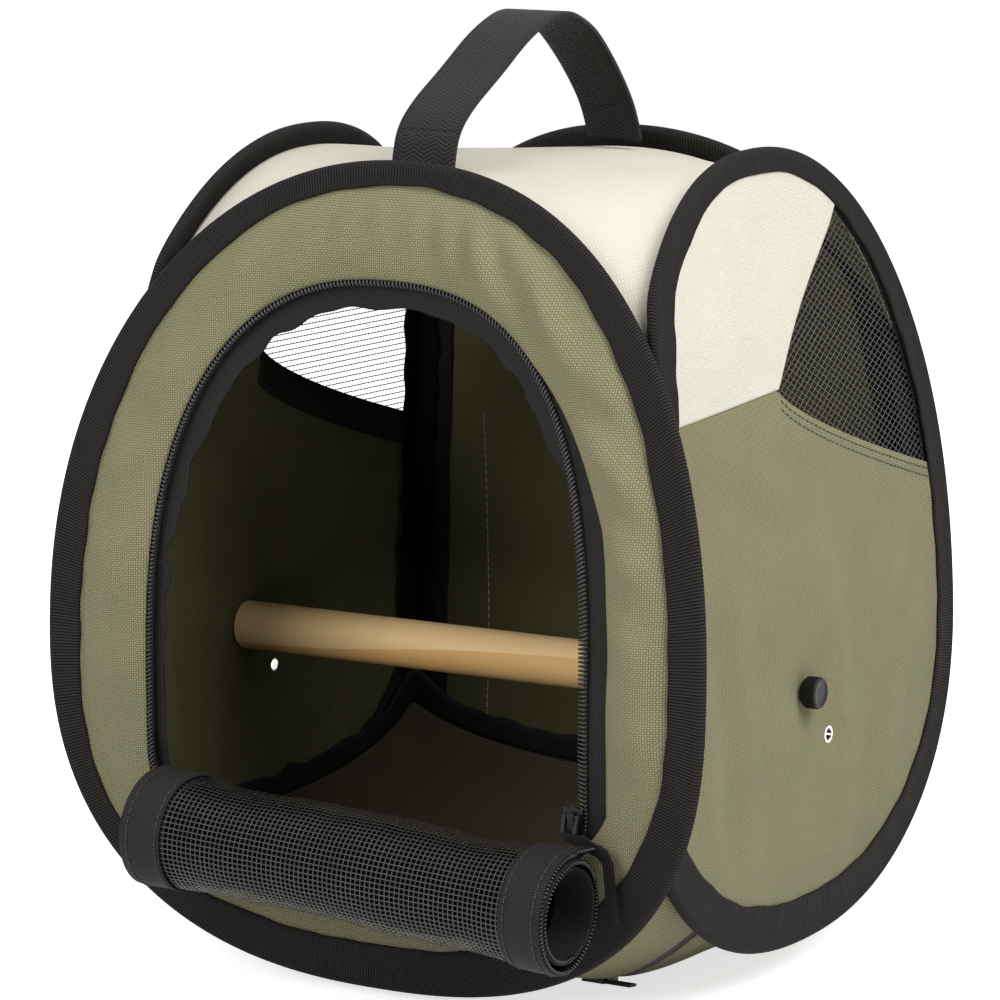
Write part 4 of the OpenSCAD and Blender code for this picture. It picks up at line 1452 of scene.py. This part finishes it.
@dataclass
class Floor(Part):
    """The two parts of the floor, the zip between them and the tape round its edge.

    Attributes:
        zip_y: distance of the zip in front of the middle.
        front_cut: rectangle round the front part laid flat.
        back_cut: rectangle round the back part laid flat.
        tape_cut: the zip tape laid flat.
        edging_cut: the edge tape laid flat.
        edging_high: height of the edge tape.
    """

    zip_y: float = 50.0
    front_cut: tuple[float, float] = (262, 70)
    back_cut: tuple[float, float] = (262, 185)
    tape_cut: tuple[float, float] = (262, 20)
    edging_cut: tuple[float, float] = (10, 990)
    edging_high: float = 9.0

    def build(self) -> None:
        """Builds the four pieces."""
        u = np.linspace(-1, 1, 100)[:, None]
        zip_v = self.zip_y / float(wall_y(10.0))
        self.cloth("front", u, (-1.0, -zip_v - 0.042), self.front_cut)
        self.cloth("back", u, (-zip_v + 0.042, 1.0), self.back_cut)
        v = np.linspace(-zip_v - 0.093, -zip_v + 0.093, 6)[None, :]
        p = FLOOR.at(u, v) + np.array([0, 0, 1.25])
        obj = Builder("floor_tape").grid(p, p[..., :2].copy()).build(self.mat.tape, 0.8)
        self.add(obj, "carrier", Slot.BINDING, "floor_zip_tape")
        self.sheet(obj, self.tape_cut)
        self.edging()

    def cloth(self, name: str, u: Array, ends: tuple[float, float], cut: tuple[float, float]) -> None:
        """Builds one part of the floor.

        Args:
            name: which part it is.
            u: places from left to right, -1 to 1.
            ends: its front and back ends, where the floor's are -1 and 1.
            cut: rectangle round its flat cut.
        """
        v = np.linspace(*ends, 70)[None, :]
        p = FLOOR.at(u, v)
        rest = (1 - u**6) * (1 - np.clip(v, -1, 1) ** 6) * smooth(0.35, 1.0, np.maximum(np.abs(u), np.abs(v)))
        p[..., 2] += rest * (1 + ripples(23, 26, 70)(p[..., 0], p[..., 1]))
        piece = Builder("floor_cloth_" + name).grid(p, p[..., :2].copy())
        obj = piece.build(self.mat[Slot.OLIVE], CLOTH, lining=self.mat.floor)
        self.add(obj, "carrier", Slot.OLIVE, f"floor_{name}_panel")
        self.sheet(obj, cut)

    def edging(self) -> None:
        """Builds the tape round the floor, which stands up and stands higher in the corners."""
        side = np.linspace(-1, 1, 90, endpoint=False)
        one = np.ones_like(side)
        ring = np.concatenate([stack(one, side), stack(-side, one), stack(-one, -side), stack(side, -one)])
        edge = soften(FLOOR.at(ring[:, 0], ring[:, 1]))
        arc = travelled(edge, closed=True)
        inward = -edge * np.array([1.0, 1.0, 0.0])
        inward /= np.linalg.norm(inward, axis=1, keepdims=True)
        h = np.linspace(0, 1, 5)
        lean = waves(72, 18, 60)(arc[:-1])
        corner = 1 - smooth(5, 22, np.abs(np.abs(edge[:, 0]) - 113) + np.abs(np.abs(edge[:, 1]) - 103))
        wavy = waves(71, 14, 40)(arc[:-1]) * (1 - corner)
        fall = (0.5 + 0.5 * lean + 2.2 * corner)[:, None] * h[None, :]
        p = edge[:, None] + inward[:, None] * (0.3 + fall)[..., None]
        foot = 0.9 - (1.3 + 1.3 * corner[:, None]) * (1 - h[None, :]) ** 2
        high = self.edging_high + 0.9 * wavy[:, None] + 4.0 * corner[:, None]
        p[..., 2] += foot + h[None, :] * high
        uv = stack(arc[:, None], h[None, :] * self.edging_high)
        obj = Builder("floor_edging").grid(p, uv, loop_u=True).build(self.mat.tape, TAPE)
        self.add(obj, "carrier", Slot.BINDING, "floor_edge_tape")
        self.sheet(obj, self.edging_cut)


@dataclass
class Back(Part):
    """Back panel, and the pocket on it.

    Attributes:
        low: height of the panel's lower end.
        high: height of its upper end.
        pocket_low: height of the pocket's lower edge.
        pocket_high: height of its upper edge.
        pocket_half: half its width.
        cut: rectangle round the panel's flat cut.
    """

    low: float = 22.0
    high: float = 286.5
    pocket_low: float = 46.0
    pocket_high: float = 178.0
    pocket_half: float = 80.5
    cut: tuple[float, float] = (232, 286)

    def build(self) -> None:
        """Builds the panel, the pocket and the stitches that show inside."""
        rough = ripples(31, 50, 140)
        u = np.linspace(-1, 1, 60)[:, None]
        z = np.linspace(self.low, self.high, 90)[None, :]
        x = u * np.minimum(tuck_x(wall_y(z), z) - TUCKED, BACK.half_width(z, TUCKED))
        piece = Builder("back_cloth").grid(Face.BACK.at(x, z, rough(x, z) * 0.7 * (1 - u**6)), stack(x, z))
        obj = piece.build(self.mat[Slot.OLIVE], CLOTH, lining=self.mat.lining)
        self.add(obj, "carrier", Slot.OLIVE, "back_panel")
        self.sheet(obj, self.cut)

        tall = self.pocket_high - self.pocket_low
        z = np.linspace(self.pocket_low, self.pocket_high, 40)[None, :]
        x = self.pocket_half * u
        full = (1 - u * u) * (z - self.pocket_low) / tall * 2.2 + 1.1
        piece = Builder("pocket_cloth").grid(Face.BACK.at(x, z, full), stack(x, z))
        obj = piece.build(self.mat[Slot.OLIVE], CLOTH)
        self.add(obj, "carrier", Slot.OLIVE, "back_pocket")
        self.sheet(obj, (2 * self.pocket_half, tall))

        seam, edge = Builder("pocket_stitches"), self.pocket_half - 1.5
        up, wide = np.linspace(48, 177, 200), np.linspace(-edge, edge, 200)
        for x, z in ((up * 0 - edge, up), (up * 0 + edge, up), (wide, wide * 0 + 47.5)):
            self.stitch(seam, Face.BACK.at(x, z, -0.6 + rough(x, z) * 0.7), 2.6, 0.8)
        self.add(seam.build(self.mat.pale_thread), "carrier", Slot.OLIVE)


@dataclass
class Side(Part):
    """One side: olive cloth below, cream cloth above, and the window behind.

    Attributes:
        face: the wall that it makes.
        seam_front: height of the seam between olive and cream, at the front hoop.
        window_front: where the window starts, from front to back.
        window_back: where it ends.
        window_high: height of the start of its lower edge.
        window_low: height of the end of that edge.
        bottom: height of the lower cloth's lower end.
        top: height of the upper cloth's upper end.
        hole: radius of the cloth's holes for the eyelets.
        tape_high: height of the tape under the window.
        lower_cut: rectangle round the lower cloth's flat cut.
        upper_cut: rectangle round the upper cloth's flat cut.
        net_cut: rectangle round the net's flat cut.
        tape_cut: the tape under the window laid flat.
        folds: loose folds of the lower cloth.
    """

    face: Face = Face.RIGHT
    seam_front: float = 208.0
    window_front: float = -10.0
    window_back: float = 111.4
    window_high: float = 213.0
    window_low: float = 170.0
    bottom: float = 20.3
    top: float = 291.5
    hole: float = 2.5
    tape_high: float = 13.0
    lower_cut: tuple[float, float] = (232, 200)
    upper_cut: tuple[float, float] = (150, 90)
    net_cut: tuple[float, float] = (121, 110)
    tape_cut: tuple[float, float] = (118, 13)
    folds: tuple[Fold, ...] = (
        Fold(60, 60, 26, 40, -22, 30, 2.2),
        Fold(20, 110, 30, 60, 14, 44, 1.6),
        Fold(80, 130, 26, 34, -40, 34, 1.5),
        Fold(-60, 90, 22, 60, 8, 32, 1.5),
        Fold(40, 36, 40, 14, 70, 22, 1.2),
        Fold(-30, 180, 34, 22, 62, 30, 1.3),
    )

    def build(self) -> None:
        """Builds the side's pieces."""
        self.lower_cloth()
        self.upper_cloth()
        self.window_net()
        self.window_tape()
        self.hem()

    def sill(self, y: Array) -> Array:
        """Height of the window's lower edge."""
        k = np.clip((y - self.window_front) / (self.window_back - self.window_front), 0, 1)
        return mix(self.window_high, self.window_low, k**0.75)

    def cream_back(self, z: Array) -> Array:
        """How far back the cream cloth reaches at height z."""
        k = (np.asarray(z) - self.window_high) / (266.4 - self.window_high)
        return mix(self.window_front, 48.0, k) - 5.0 * np.sin(math.pi * np.clip(k, 0, 1)) ** 1.2

    @staticmethod
    def front(z: Array) -> Array:
        """How far in front of the middle the cloth ends at height z."""
        fore = (SIDE_FORE.width - TUCKED) / (SIDE.width - TUCKED)
        return np.minimum(tuck_y(z) - TUCKED, SIDE.half_width(z, TUCKED) * fore)

    @staticmethod
    def rear(z: Array) -> Array:
        """How far behind the middle the cloth ends at height z."""
        return SIDE.half_width(z, TUCKED)

    @staticmethod
    def inside_hoop(y: Array, z: Array) -> Array:
        """Share of its fullness that the cloth has: none at the binding, all further in.

        Args:
            y: distance behind the middle.
            z: height.

        Returns:
            The share.
        """
        bound = 17.0
        edge = side_radius(np.arctan2(z - MID, y), bound)
        return smooth(1.0, 0.84, np.hypot(y, z - MID) / edge) * smooth(0, 14, y + tuck_y(z) - bound)

    def lower(self, u: Array, v: Array) -> tuple[Array, Array]:
        """A point of the lower cloth, before it is given any fullness.

        Args:
            u: place from front to back, 0 to 1.
            v: place from bottom to top, 0 to 1.

        Returns:
            Y and height of the point.
        """
        seam_y = mix(-self.front(self.seam_front), self.rear(self.window_low), u)
        rising = mix(self.seam_front, self.window_high, (seam_y + 106.0) / 96.0)
        z = mix(self.bottom, np.where(seam_y < self.window_front, rising, self.sill(seam_y)), v**1.4)
        return mix(mix(-self.front(z), self.rear(z), u), seam_y, v**4), z

    def lines(self) -> tuple[Array, Array]:
        """Places of both cloths' lines, closer together where the lower one has its eyelets.

        Returns:
            The places from front to back, and from bottom to top.
        """
        u, v = np.linspace(0, 1, 110), np.linspace(0, 1, 96)
        y, z = self.lower(u[:, None], v[None, :])
        away = [np.hypot(y - a, z - b) for a, b in (PERCH_HOLE, SPARE_HOLE)]
        near = [np.unravel_index(d.argmin(), d.shape) for d in away]
        return finer(u, [u[i] for i, _ in near])[:, None], finer(v, [v[j] for _, j in near])[None, :]

    def lower_cloth(self) -> None:
        """Builds the olive cloth, with a hole behind each eyelet."""
        u, v = self.lines()
        y, z = self.lower(u, v)
        calm = (1 - bump_at(y, z, *PERCH_HOLE, 11, 11)) * (1 - bump_at(y, z, *SPARE_HOLE, 9, 9))
        away = 1 - np.clip(np.abs(2 * u - 1), 0, 1) ** 6
        full = 1.5 * np.sin(math.pi * u) * np.sin(math.pi * v) + 0.9 * ripples(41, 45, 130)(y, z) * away
        for fold in self.folds:
            full = full + fold.lift(y, z) * away
        full = full * calm * smooth(0, 0.12, v) * smooth(1.0, 0.8, v) * self.inside_hoop(y, z)
        cloth = Builder(self.face.value + "_lower_cloth").grid(self.face.at(y, z, full), stack(y, z))
        for spot in (PERCH_HOLE, SPARE_HOLE):
            cloth.drop(self.face.at(*spot), self.hole)
        obj = cloth.build(self.mat[Slot.OLIVE], CLOTH, lining=self.mat.lining)
        self.add(obj, "carrier", Slot.OLIVE, self.face.value + "_lower_panel")
        self.sheet(obj, self.lower_cut)

    def upper_cloth(self) -> None:
        """Builds the cream cloth, which overlaps the olive one a little."""
        u, v = self.lines()
        z = mix(mix(self.seam_front + 0.3, self.window_high + 0.3, u), self.top, v)
        y = mix(-self.front(z), np.minimum(self.rear(z), self.cream_back(z)), u)
        rise = smooth(0, 0.1, v) * (1 - u**6) * smooth(1.0, 0.8, v) * smooth(0.0, 0.14, u)
        full = 0.7 * ripples(43, 40, 110)(y, z)
        full = full + 0.9 * bump_at(y, z, -30, 262, 26, 24) * np.cos((y * 0.9 + z * 0.3) / 3.4)
        full = full + 0.6 * bump_at(y, z, -70, 235, 16, 24) * np.cos((y * 0.9 - z * 0.3) / 3.0)
        p = self.face.at(y, z, 0.25 + full * self.inside_hoop(y, z) * rise)
        piece = Builder(self.face.value + "_upper_cloth").grid(p, stack(y, z))
        obj = piece.build(self.mat[Slot.CREAM], CLOTH)
        self.add(obj, "carrier", Slot.CREAM, self.face.value + "_upper_panel")
        self.sheet(obj, self.upper_cut)

    def window_net(self) -> None:
        """Builds the net; on the right its threads run aslant."""
        y = np.linspace(self.window_front, 111.0, 80)[:, None]
        v = np.linspace(0, 1, 60)[None, :]
        low = self.sill(y) - 4.0
        heights = np.linspace(213, 275, 80)
        seam = np.interp(y, self.cream_back(heights), heights, right=400)
        top = np.minimum(seam + 2.0, MID + SIDE.rise(y, 6.0))
        z = mix(low, np.maximum(top, low + 1), v)
        sag = -1.2 * np.sin(math.pi * v) * np.sin(math.pi * (y - self.window_front) / 121)
        slant = stack(y / 2.36 + z / 1.27, z / 1.27 - y / 2.36)
        uv = slant if self.face is Face.RIGHT else stack(y, z)
        obj = Builder(self.face.value + "_window_mesh").grid(self.face.at(y, z, sag - 0.7), uv)
        net = self.add(obj.build(self.mat[Slot.MESH]), "carrier", Slot.MESH, self.face.value + "_window_net")
        self.sheet(net, self.net_cut)

    def window_tape(self) -> None:
        """Builds the tape that binds the net's lower edge, inside the olive cloth."""
        y = np.linspace(-8.0, float(wall_y(self.window_low)) - 5, 60)[:, None]
        down = np.linspace(0, self.tape_high, 4)[None, :]
        p = self.face.at(y, self.sill(y) - down, -1.8)
        obj = Builder(self.face.value + "_window_binding").grid(p, stack(y, down)).build(self.mat.tape, TAPE)
        self.add(obj, "carrier", Slot.BINDING, self.face.value + "_window_tape")
        self.sheet(obj, self.tape_cut)

    def hem(self) -> None:
        """Builds the two rows of stitches along the window's lower edge."""
        y = np.linspace(-9.0, 108.0, 400)
        rows = Builder(self.face.value + "_hem_stitches")
        for down in (2.4, 5.4):
            self.stitch(rows, self.face.at(y, self.sill(y) - down, 0.66), 2.0, 1.4)
        self.add(rows.build(self.mat.thread), "carrier", Slot.OLIVE)


@dataclass
class CornerTapes(Part):
    """Soft tapes over the seams in the back corners of the cabin.

    Attributes:
        low: height of a tape's lower end.
        high: height of its upper end.
        inside: how far inside the walls it lies.
        cut: a tape laid flat.
    """

    low: float = 68.4
    high: float = 219.5
    inside: float = 2.75
    cut: tuple[float, float] = (27, 151)

    def build(self) -> None:
        """Builds the two tapes."""
        z = np.linspace(self.low, self.high, 120)
        corner = stack(wall_x(wall_y(z), z) - self.inside, wall_y(z) - self.inside, z)
        for sign, name in ((1, "right"), (-1, "left")):
            wavy = waves(80 + sign, 16, 50)(z)
            legs = [(-9.2 - 0.7 * wavy, 0), (-6.0, -0.6), (-3.0, -0.5), (-0.8, -0.25),
                    (-0.25, -0.8), (-0.4, -3.0), (-0.5, -6.0), (0, 0.7 * wavy - 9.2)]
            mirror = np.array([sign, 1, 1])
            tape = np.stack([corner + stack(dx, dy, 0 * z) for dx, dy in legs], 1) * mirror
            fin = np.stack([corner + np.array([-0.2, dy, 0.0]) for dy in (-1.9, 2.0, 6.0)], 1) * mirror
            # Tapes and fins take the near-black matt corner material: painted shade in the corners.
            obj = Builder(name + "_corner_binding").grid(tape).grid(fin).build(self.mat.shaded_corner_tape, TAPE)
            self.add(obj, "carrier", Slot.BINDING, name + "_corner_tape")
            self.sheet(obj, self.cut)


@dataclass
class RolledDoor(Part):
    """The mesh door, rolled down in front of the sill: mesh, sleeves, teeth and stitches.

    Attributes:
        length: length of the roll.
        drop: how much lower its right end lies.
        start_x: X of its left end.
        start_z: height of its left end.
        turns: number of turns.
        radius: radius of its outer turn.
        tighten: how much the radius shrinks in a turn.
        mesh_end: how far in from the roll's ends the mesh starts, under the sleeves.
        left_sleeve: width of the left sleeve.
        right_sleeve: width of the right sleeve.
        pitch: distance from tooth to tooth.
        seams: distances of the stitches from an end.
    """

    length: float = 171.0
    drop: float = 9.5
    start_x: float = -75.5
    start_z: float = 58.0
    turns: float = 2.08
    radius: float = 19.75
    tighten: float = 2.3
    mesh_end: float = 15.4
    left_sleeve: float = 16.0
    right_sleeve: float = 16.6
    pitch: float = 1.5
    seams: tuple[float, float] = (3.0, 14.6)

    def __post_init__(self) -> None:
        """Works out where the roll lies, and the angles of its lines with the mesh's length up to each."""
        tilt = math.asin(self.drop / self.length)
        middle = -(float(wall_y(self.start_z)) + 22.5)
        self.origin = np.array([self.start_x, middle, self.start_z])
        self.axis = np.array([math.cos(tilt), 0.0, -math.sin(tilt)])
        self.up = np.array([math.sin(tilt), 0.0, math.cos(tilt)])
        self.forward = np.array([0.0, -1.0, 0.0])
        self.bulge, self.slack = ripples(51, 30, 90), ripples(52, 14, 40)
        self.angles = np.r_[np.linspace(-1, 0, 16)[:-1], np.linspace(0, self.turns * TAU, 170)]
        self.way = travelled(self.wound(80.0, self.angles))

    def wound(self, s: Array | float, a: Array, grow: float = 0.0) -> Array:
        """A point of the door.

        Args:
            s: distance along the roll, mm.
            a: radians on from its top; below 0 it is the neck, and -1 the sill.
            grow: how far outside the mesh it lies, mm.

        Returns:
            The point.
        """
        s, a = np.broadcast_arrays(np.asarray(s, float), np.asarray(a, float))
        left = self.length - s
        turn = np.maximum(a, 0)
        flare = smooth(34, 0, left) * 1.7 + smooth(24, 0, s) * 0.9
        r = self.radius + grow - self.tighten * turn / TAU
        r = r + 0.4 * self.bulge(s, turn * 18) + 0.18 * self.slack(s, turn * 18)
        r = r + flare * smooth(1.6 * TAU, 0, turn) * smooth(-0.8, 0.2, np.sin(turn))
        low = 61.0 + 9.5 * smooth(15, 0, s) + 7.0 * smooth(13, 0, left)
        axis_z = self.start_z - self.drop * s / self.length
        start = -np.arccos(np.clip((low - axis_z) / 20.9, -1, 1))
        phi = np.where(a < 0, start * np.minimum(1, -a), turn)
        r = np.where(a < 0, r + 0.95 * smooth(0, -0.4, a), r)
        over, out = (r * np.cos(phi))[..., None] * self.up, (r * np.sin(phi))[..., None] * self.forward
        sill = stack(self.origin[0] + s * self.axis[0], -wall_y(low) - 1.2 - grow, low)
        k = smooth(0.55, 1.0, -a)[..., None]
        door = self.origin + s[..., None] * self.axis + over + out
        return mix(door, sill, np.where(a[..., None] < 0, k, 0.0))

    def build(self) -> None:
        """Builds the mesh, the two sleeves, the teeth and the stitches."""
        # From here on the mesh's inner turns are painted near black as painted shade.
        inner = float(np.interp(0.9 * TAU, self.angles, self.way))
        bare = self.length - 2 * self.mesh_end
        mesh = self.strip("rolled_mesh", self.mesh_end, bare, 70, 0.0).build(DoorMesh(inner).make())
        self.add(mesh, "door_roll", Slot.MESH, "door_roll_mesh", "door_roll_neck")
        self.sheet(mesh, (bare, float(self.way[-1])), "folded")
        for name, start, wide in (("left_sleeve", 0.0, self.left_sleeve),
                                  ("right_sleeve", self.length - self.right_sleeve, self.right_sleeve)):
            sleeve = self.strip(name, start, wide, 16, 0.5).build(self.mat.tape, 0.6)
            self.add(sleeve, "door_roll", Slot.BINDING, "door_roll_" + name)
            self.sheet(sleeve, (wide, float(self.way[-1])), "folded")
        self.ends()

    def strip(self, name: str, start: float, wide: float, lines: int, grow: float) -> Builder:
        """Winds one sheet of the roll.

        Args:
            name: the piece's name.
            start: where along the roll it starts, mm.
            wide: its width along the roll, mm.
            lines: number of its lines.
            grow: how far outside the mesh it lies, mm.

        Returns:
            The sheet's builder.
        """
        s = np.linspace(start, start + wide, lines)[:, None]
        return Builder(name).grid(self.wound(s, self.angles[None, :], grow), stack(s, self.way[None, :]))

    def ends(self) -> None:
        """Builds the teeth wound at both ends, and the sleeves' stitches."""
        teeth, seam = Builder("rolled_teeth"), Builder("sleeve_stitches")
        ang = np.r_[np.linspace(-0.97, 0, 160)[:-1], np.linspace(0, 1.55 * TAU, 900)]
        row = np.linspace(-0.9, 1.02 * TAU, 500)
        for end, out in ((0.0, -1.0), (self.length, 1.0)):
            d = travelled(self.wound(end, ang, 0.5))
            turn = np.arange(int(d[-1] / self.pitch) * 10) / 10
            pos = np.interp(turn * self.pitch, d, ang)
            base = self.wound(end, pos, 0.5)
            outwards = self.wound(end, pos, 1.5) - base
            coil = base + (out * (0.9 * np.cos(turn * TAU) - 0.5))[:, None] * self.axis
            teeth.tube(coil + outwards * (0.45 * np.sin(turn * TAU) - 0.8)[:, None], 0.32, 6)
            for inset in self.seams:
                self.stitch(seam, self.wound(end - out * inset, row, 0.95), 2.2, 0.9)
        self.add(teeth.build(self.mat[Slot.COIL]), "door_roll", Slot.COIL, "door_roll_teeth")
        self.add(seam.build(self.mat.black_thread), "door_roll", Slot.BINDING)


@dataclass
class Handle(Part):
    """Webbing handle and its stitched ends.

    Attributes:
        wide: width of the webbing.
        thick: its thickness.
        front_foot: length of its stitched front end.
        back_foot: length of its stitched back end.
        knees: (Y, height) of points along its curve.
    """

    wide: float = 25.0
    thick: float = 1.7
    front_foot: float = 14.2
    back_foot: float = 14.8
    knees: tuple[tuple[float, float], ...] = (
        (-68, 289.3), (-66, 303), (-53, 312.5), (-36.6, 321), (-17.6, 332.5), (-1, 339),
        (11, 341), (31, 333), (47.5, 318.5), (61.4, 303), (67, 289.3),
    )

    def build(self) -> None:
        """Builds the strap and its two ends."""
        knees = np.array(self.knees)
        d = travelled(knees)
        s = np.linspace(0, d[-1], 160)
        line = stack(np.interp(s, d, knees[:, 0]), np.interp(s, d, knees[:, 1]))
        for _ in range(60):
            line[1:-1] = (line[:-2] + 2 * line[1:-1] + line[2:]) / 4
        w = np.linspace(-self.wide / 2, self.wide / 2, 9)[None, :]
        skew = smooth(0.55, 1.0, s / d[-1])[:, None] * -0.2
        p = stack(w, line[:, :1] + skew * w, line[:, 1:])
        uv = stack(s[:, None], w + self.wide / 2)
        front, back = int(np.argmax(s > self.front_foot)), int(np.argmax(s > d[-1] - self.back_foot))
        for name, node, body, a, b in (("handle_front_foot", "handle_front_end", "carrier", 0, front + 1),
                                       ("handle_webbing", "handle_strap", "handle", front, back + 1),
                                       ("handle_back_foot", "handle_back_end", "carrier", back, len(s))):
            obj = Builder(name).grid(p[a:b], uv[a:b]).build(self.mat[Slot.WEBBING], self.thick)
            self.add(obj, body, Slot.WEBBING, node)
            self.sheet(obj, (self.wide, float(s[b - 1] - s[a])))


@dataclass
class Knobs(Part):
    """Fluted thumb knobs of the perch's screws.

    Attributes:
        flutes: number of flutes.
        depth: depth of a flute.
        lift: distance of a knob from the side's wall.
        profile: distance along the screw and radius, from the wall round to the outer end.
    """

    flutes: int = 36
    depth: float = 0.3
    lift: float = 1.45
    profile: tuple[tuple[float, float], ...] = (
        (0.0, 2.2), (0.0, 4.2), (0.1, 4.6), (0.8, 4.7), (1.0, 5.4), (1.3, 5.7), (5.7, 5.75), (6.15, 5.55),
        (6.45, 5.1), (6.5, 4.6), (6.25, 4.2), (6.2, 2.0), (6.2, 0.05),
    )

    def build(self) -> None:
        """Builds the two knobs."""
        a = np.linspace(0, TAU, 6 * self.flutes, endpoint=False)[None, :]
        along, radius = np.array(self.profile).T[:, :, None]
        fluted = (along > 1.2) & (along < 6.0)
        r = radius - fluted * self.depth * (0.5 + 0.5 * np.cos(a * self.flutes))
        y, z = PERCH_HOLE
        x = float(wall_x(y, z)) + self.lift + along
        for sign, name in ((1, "right"), (-1, "left")):
            p = stack(sign * x, y + r * np.cos(a), z + r * np.sin(a))
            obj = Builder(name + "_fluted_knob").grid(p, loop_v=True).build(self.mat[Slot.KNOB])
            self.add(obj, name + "_thumb_knob", Slot.KNOB, name + "_knob")


@dataclass(frozen=True)
class Softbox:
    """An area light.

    Attributes:
        name: the light's name.
        azimuth: direction it comes from, degrees from the front.
        elevation: height over the horizon, degrees.
        size: side of the square, metres.
        power: watts.
    """

    name: str
    azimuth: float
    elevation: float
    size: float
    power: float


@dataclass
class Studio:
    """Camera, lights and backdrop.

    Attributes:
        aim: point that the camera and the lights look at, metres.
        lights: the soft boxes.
        far: distance of the soft boxes from that point, metres.
        view: azimuth and elevation of the camera, degrees.
        distance: distance of the camera from that point, metres.
        lens: focal length, mm.
        half_floor: half the width of the backdrop, mm.
    """

    aim: Vector = field(default_factory=lambda: Vector((-0.00967, 0.0, 0.1621)))
    lights: tuple[Softbox, ...] = (
        Softbox("key", 78, 44, 1.0, 26),
        Softbox("front", -10, 24, 0.9, 12),
        Softbox("left rim", -75, 30, 0.7, 4),
        Softbox("top", 120, 78, 0.8, 6),
    )
    far: float = 1.6
    view: tuple[float, float] = (31.07, 9.79)
    distance: float = 1.783
    lens: float = 175.608
    half_floor: float = 2500.0

    def place(self, name: str, data: bpy.types.ID, azimuth: float, elevation: float,
              away: float) -> bpy.types.Object:
        """Puts a camera or a light round the carrier, looking at it.

        Args:
            name: the object's name.
            data: the camera or the light.
            azimuth: direction from the front, degrees.
            elevation: height over the horizon, degrees.
            away: distance from the point looked at, metres.

        Returns:
            The linked object.
        """
        a, e = math.radians(azimuth), math.radians(elevation)
        back = Vector((math.sin(a) * math.cos(e), -math.cos(a) * math.cos(e), math.sin(e)))
        obj = bpy.data.objects.new(name, data)
        obj.location = self.aim + back * away
        obj.rotation_euler = (-back).to_track_quat("-Z", "Y").to_euler()
        bpy.context.scene.collection.objects.link(obj)
        return obj

    def camera(self) -> None:
        """Sets the photo's camera."""
        data = bpy.data.cameras.new("camera")
        data.sensor_width = 36.0
        data.lens = self.lens
        data.clip_end = 20.0
        bpy.context.scene.camera = self.place("camera", data, *self.view, self.distance)

    def light(self) -> None:
        """Sets the soft boxes round the carrier."""
        for box in self.lights:
            data = bpy.data.lights.new(box.name, "AREA")
            data.size = box.size
            data.energy = box.power
            self.place(box.name, data, box.azimuth, box.elevation, self.far)

    @staticmethod
    def world() -> None:
        """Makes the world white to the camera, and a soft grey as light."""
        world = bpy.data.worlds.new("studio")
        bpy.context.scene.world = world
        world.use_nodes = True
        tree = world.node_tree
        path = tree.nodes.new("ShaderNodeLightPath")
        seen = path.outputs["Is Camera Ray"]
        for ray in ("Is Transmission Ray", "Is Glossy Ray"):
            either = tree.nodes.new("ShaderNodeMath")
            either.operation = "MAXIMUM"
            tree.links.new(seen, either.inputs[0])
            tree.links.new(path.outputs[ray], either.inputs[1])
            seen = either.outputs[0]
        blend = tree.nodes.new("ShaderNodeMix")
        blend.data_type = "RGBA"
        tree.links.new(seen, blend.inputs[0])
        blend.inputs[6].default_value = (0.14, 0.14, 0.143, 1)
        blend.inputs[7].default_value = (1, 1, 1, 1)
        background = tree.nodes["Background"]
        tree.links.new(blend.outputs[2], background.inputs["Color"])
        background.inputs["Strength"].default_value = 1.0

    def backdrop(self) -> None:
        """Makes a pale floor that keeps a faint shadow and runs out into white."""
        s = Shader("backdrop", 0.9)
        s.colour((0.9, 0.9, 0.9))
        path = s.node("ShaderNodeLightPath")
        seen = s.math("MAXIMUM", path.outputs["Is Camera Ray"], path.outputs["Is Glossy Ray"])
        seen = s.math("MAXIMUM", seen, path.outputs["Is Transmission Ray"])
        far = s.node("ShaderNodeVectorMath", operation="LENGTH")
        s.put(far.inputs[0], s.node("ShaderNodeNewGeometry").outputs["Position"])
        reach = s.node("ShaderNodeMapRange", interpolation_type="SMOOTHSTEP")
        for socket, value in zip(reach.inputs, (far.outputs["Value"], 0.25, 0.8, 0.7, 1.0)):
            s.put(socket, value)
        s.bsdf.inputs["Emission Color"].default_value = (1, 1, 1, 1)
        s.put(s.bsdf.inputs["Emission Strength"], s.math("MULTIPLY", seen, reach.outputs[0]))
        size = self.half_floor
        g = np.array([[[-size, -size, 0], [-size, size, 0]], [[size, -size, 0], [size, size, 0]]], float)
        Builder("backdrop").grid(g).build(s.material)

    def build(self) -> None:
        """Sets the scene."""
        bpy.context.scene.view_settings.view_transform = "Standard"
        self.camera()
        self.light()
        self.world()
        self.backdrop()


def main() -> None:
    """Builds the carrier in its studio."""
    logging.basicConfig(level=logging.INFO)
    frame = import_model()
    mat = Materials()
    parts = (BareNodes(mat, frame), HoopBindings(mat), FrontPanel(mat), Doorway(mat), Roof(mat),
             Floor(mat), Back(mat), Side(mat, Face.RIGHT), Side(mat, Face.LEFT), CornerTapes(mat),
             RolledDoor(mat), Handle(mat), Knobs(mat))
    for part in parts:
        part.build()
    Studio().build()
    LOG.info("built %d sub-assemblies", len(parts))


if __name__ == "__main__":
    main()
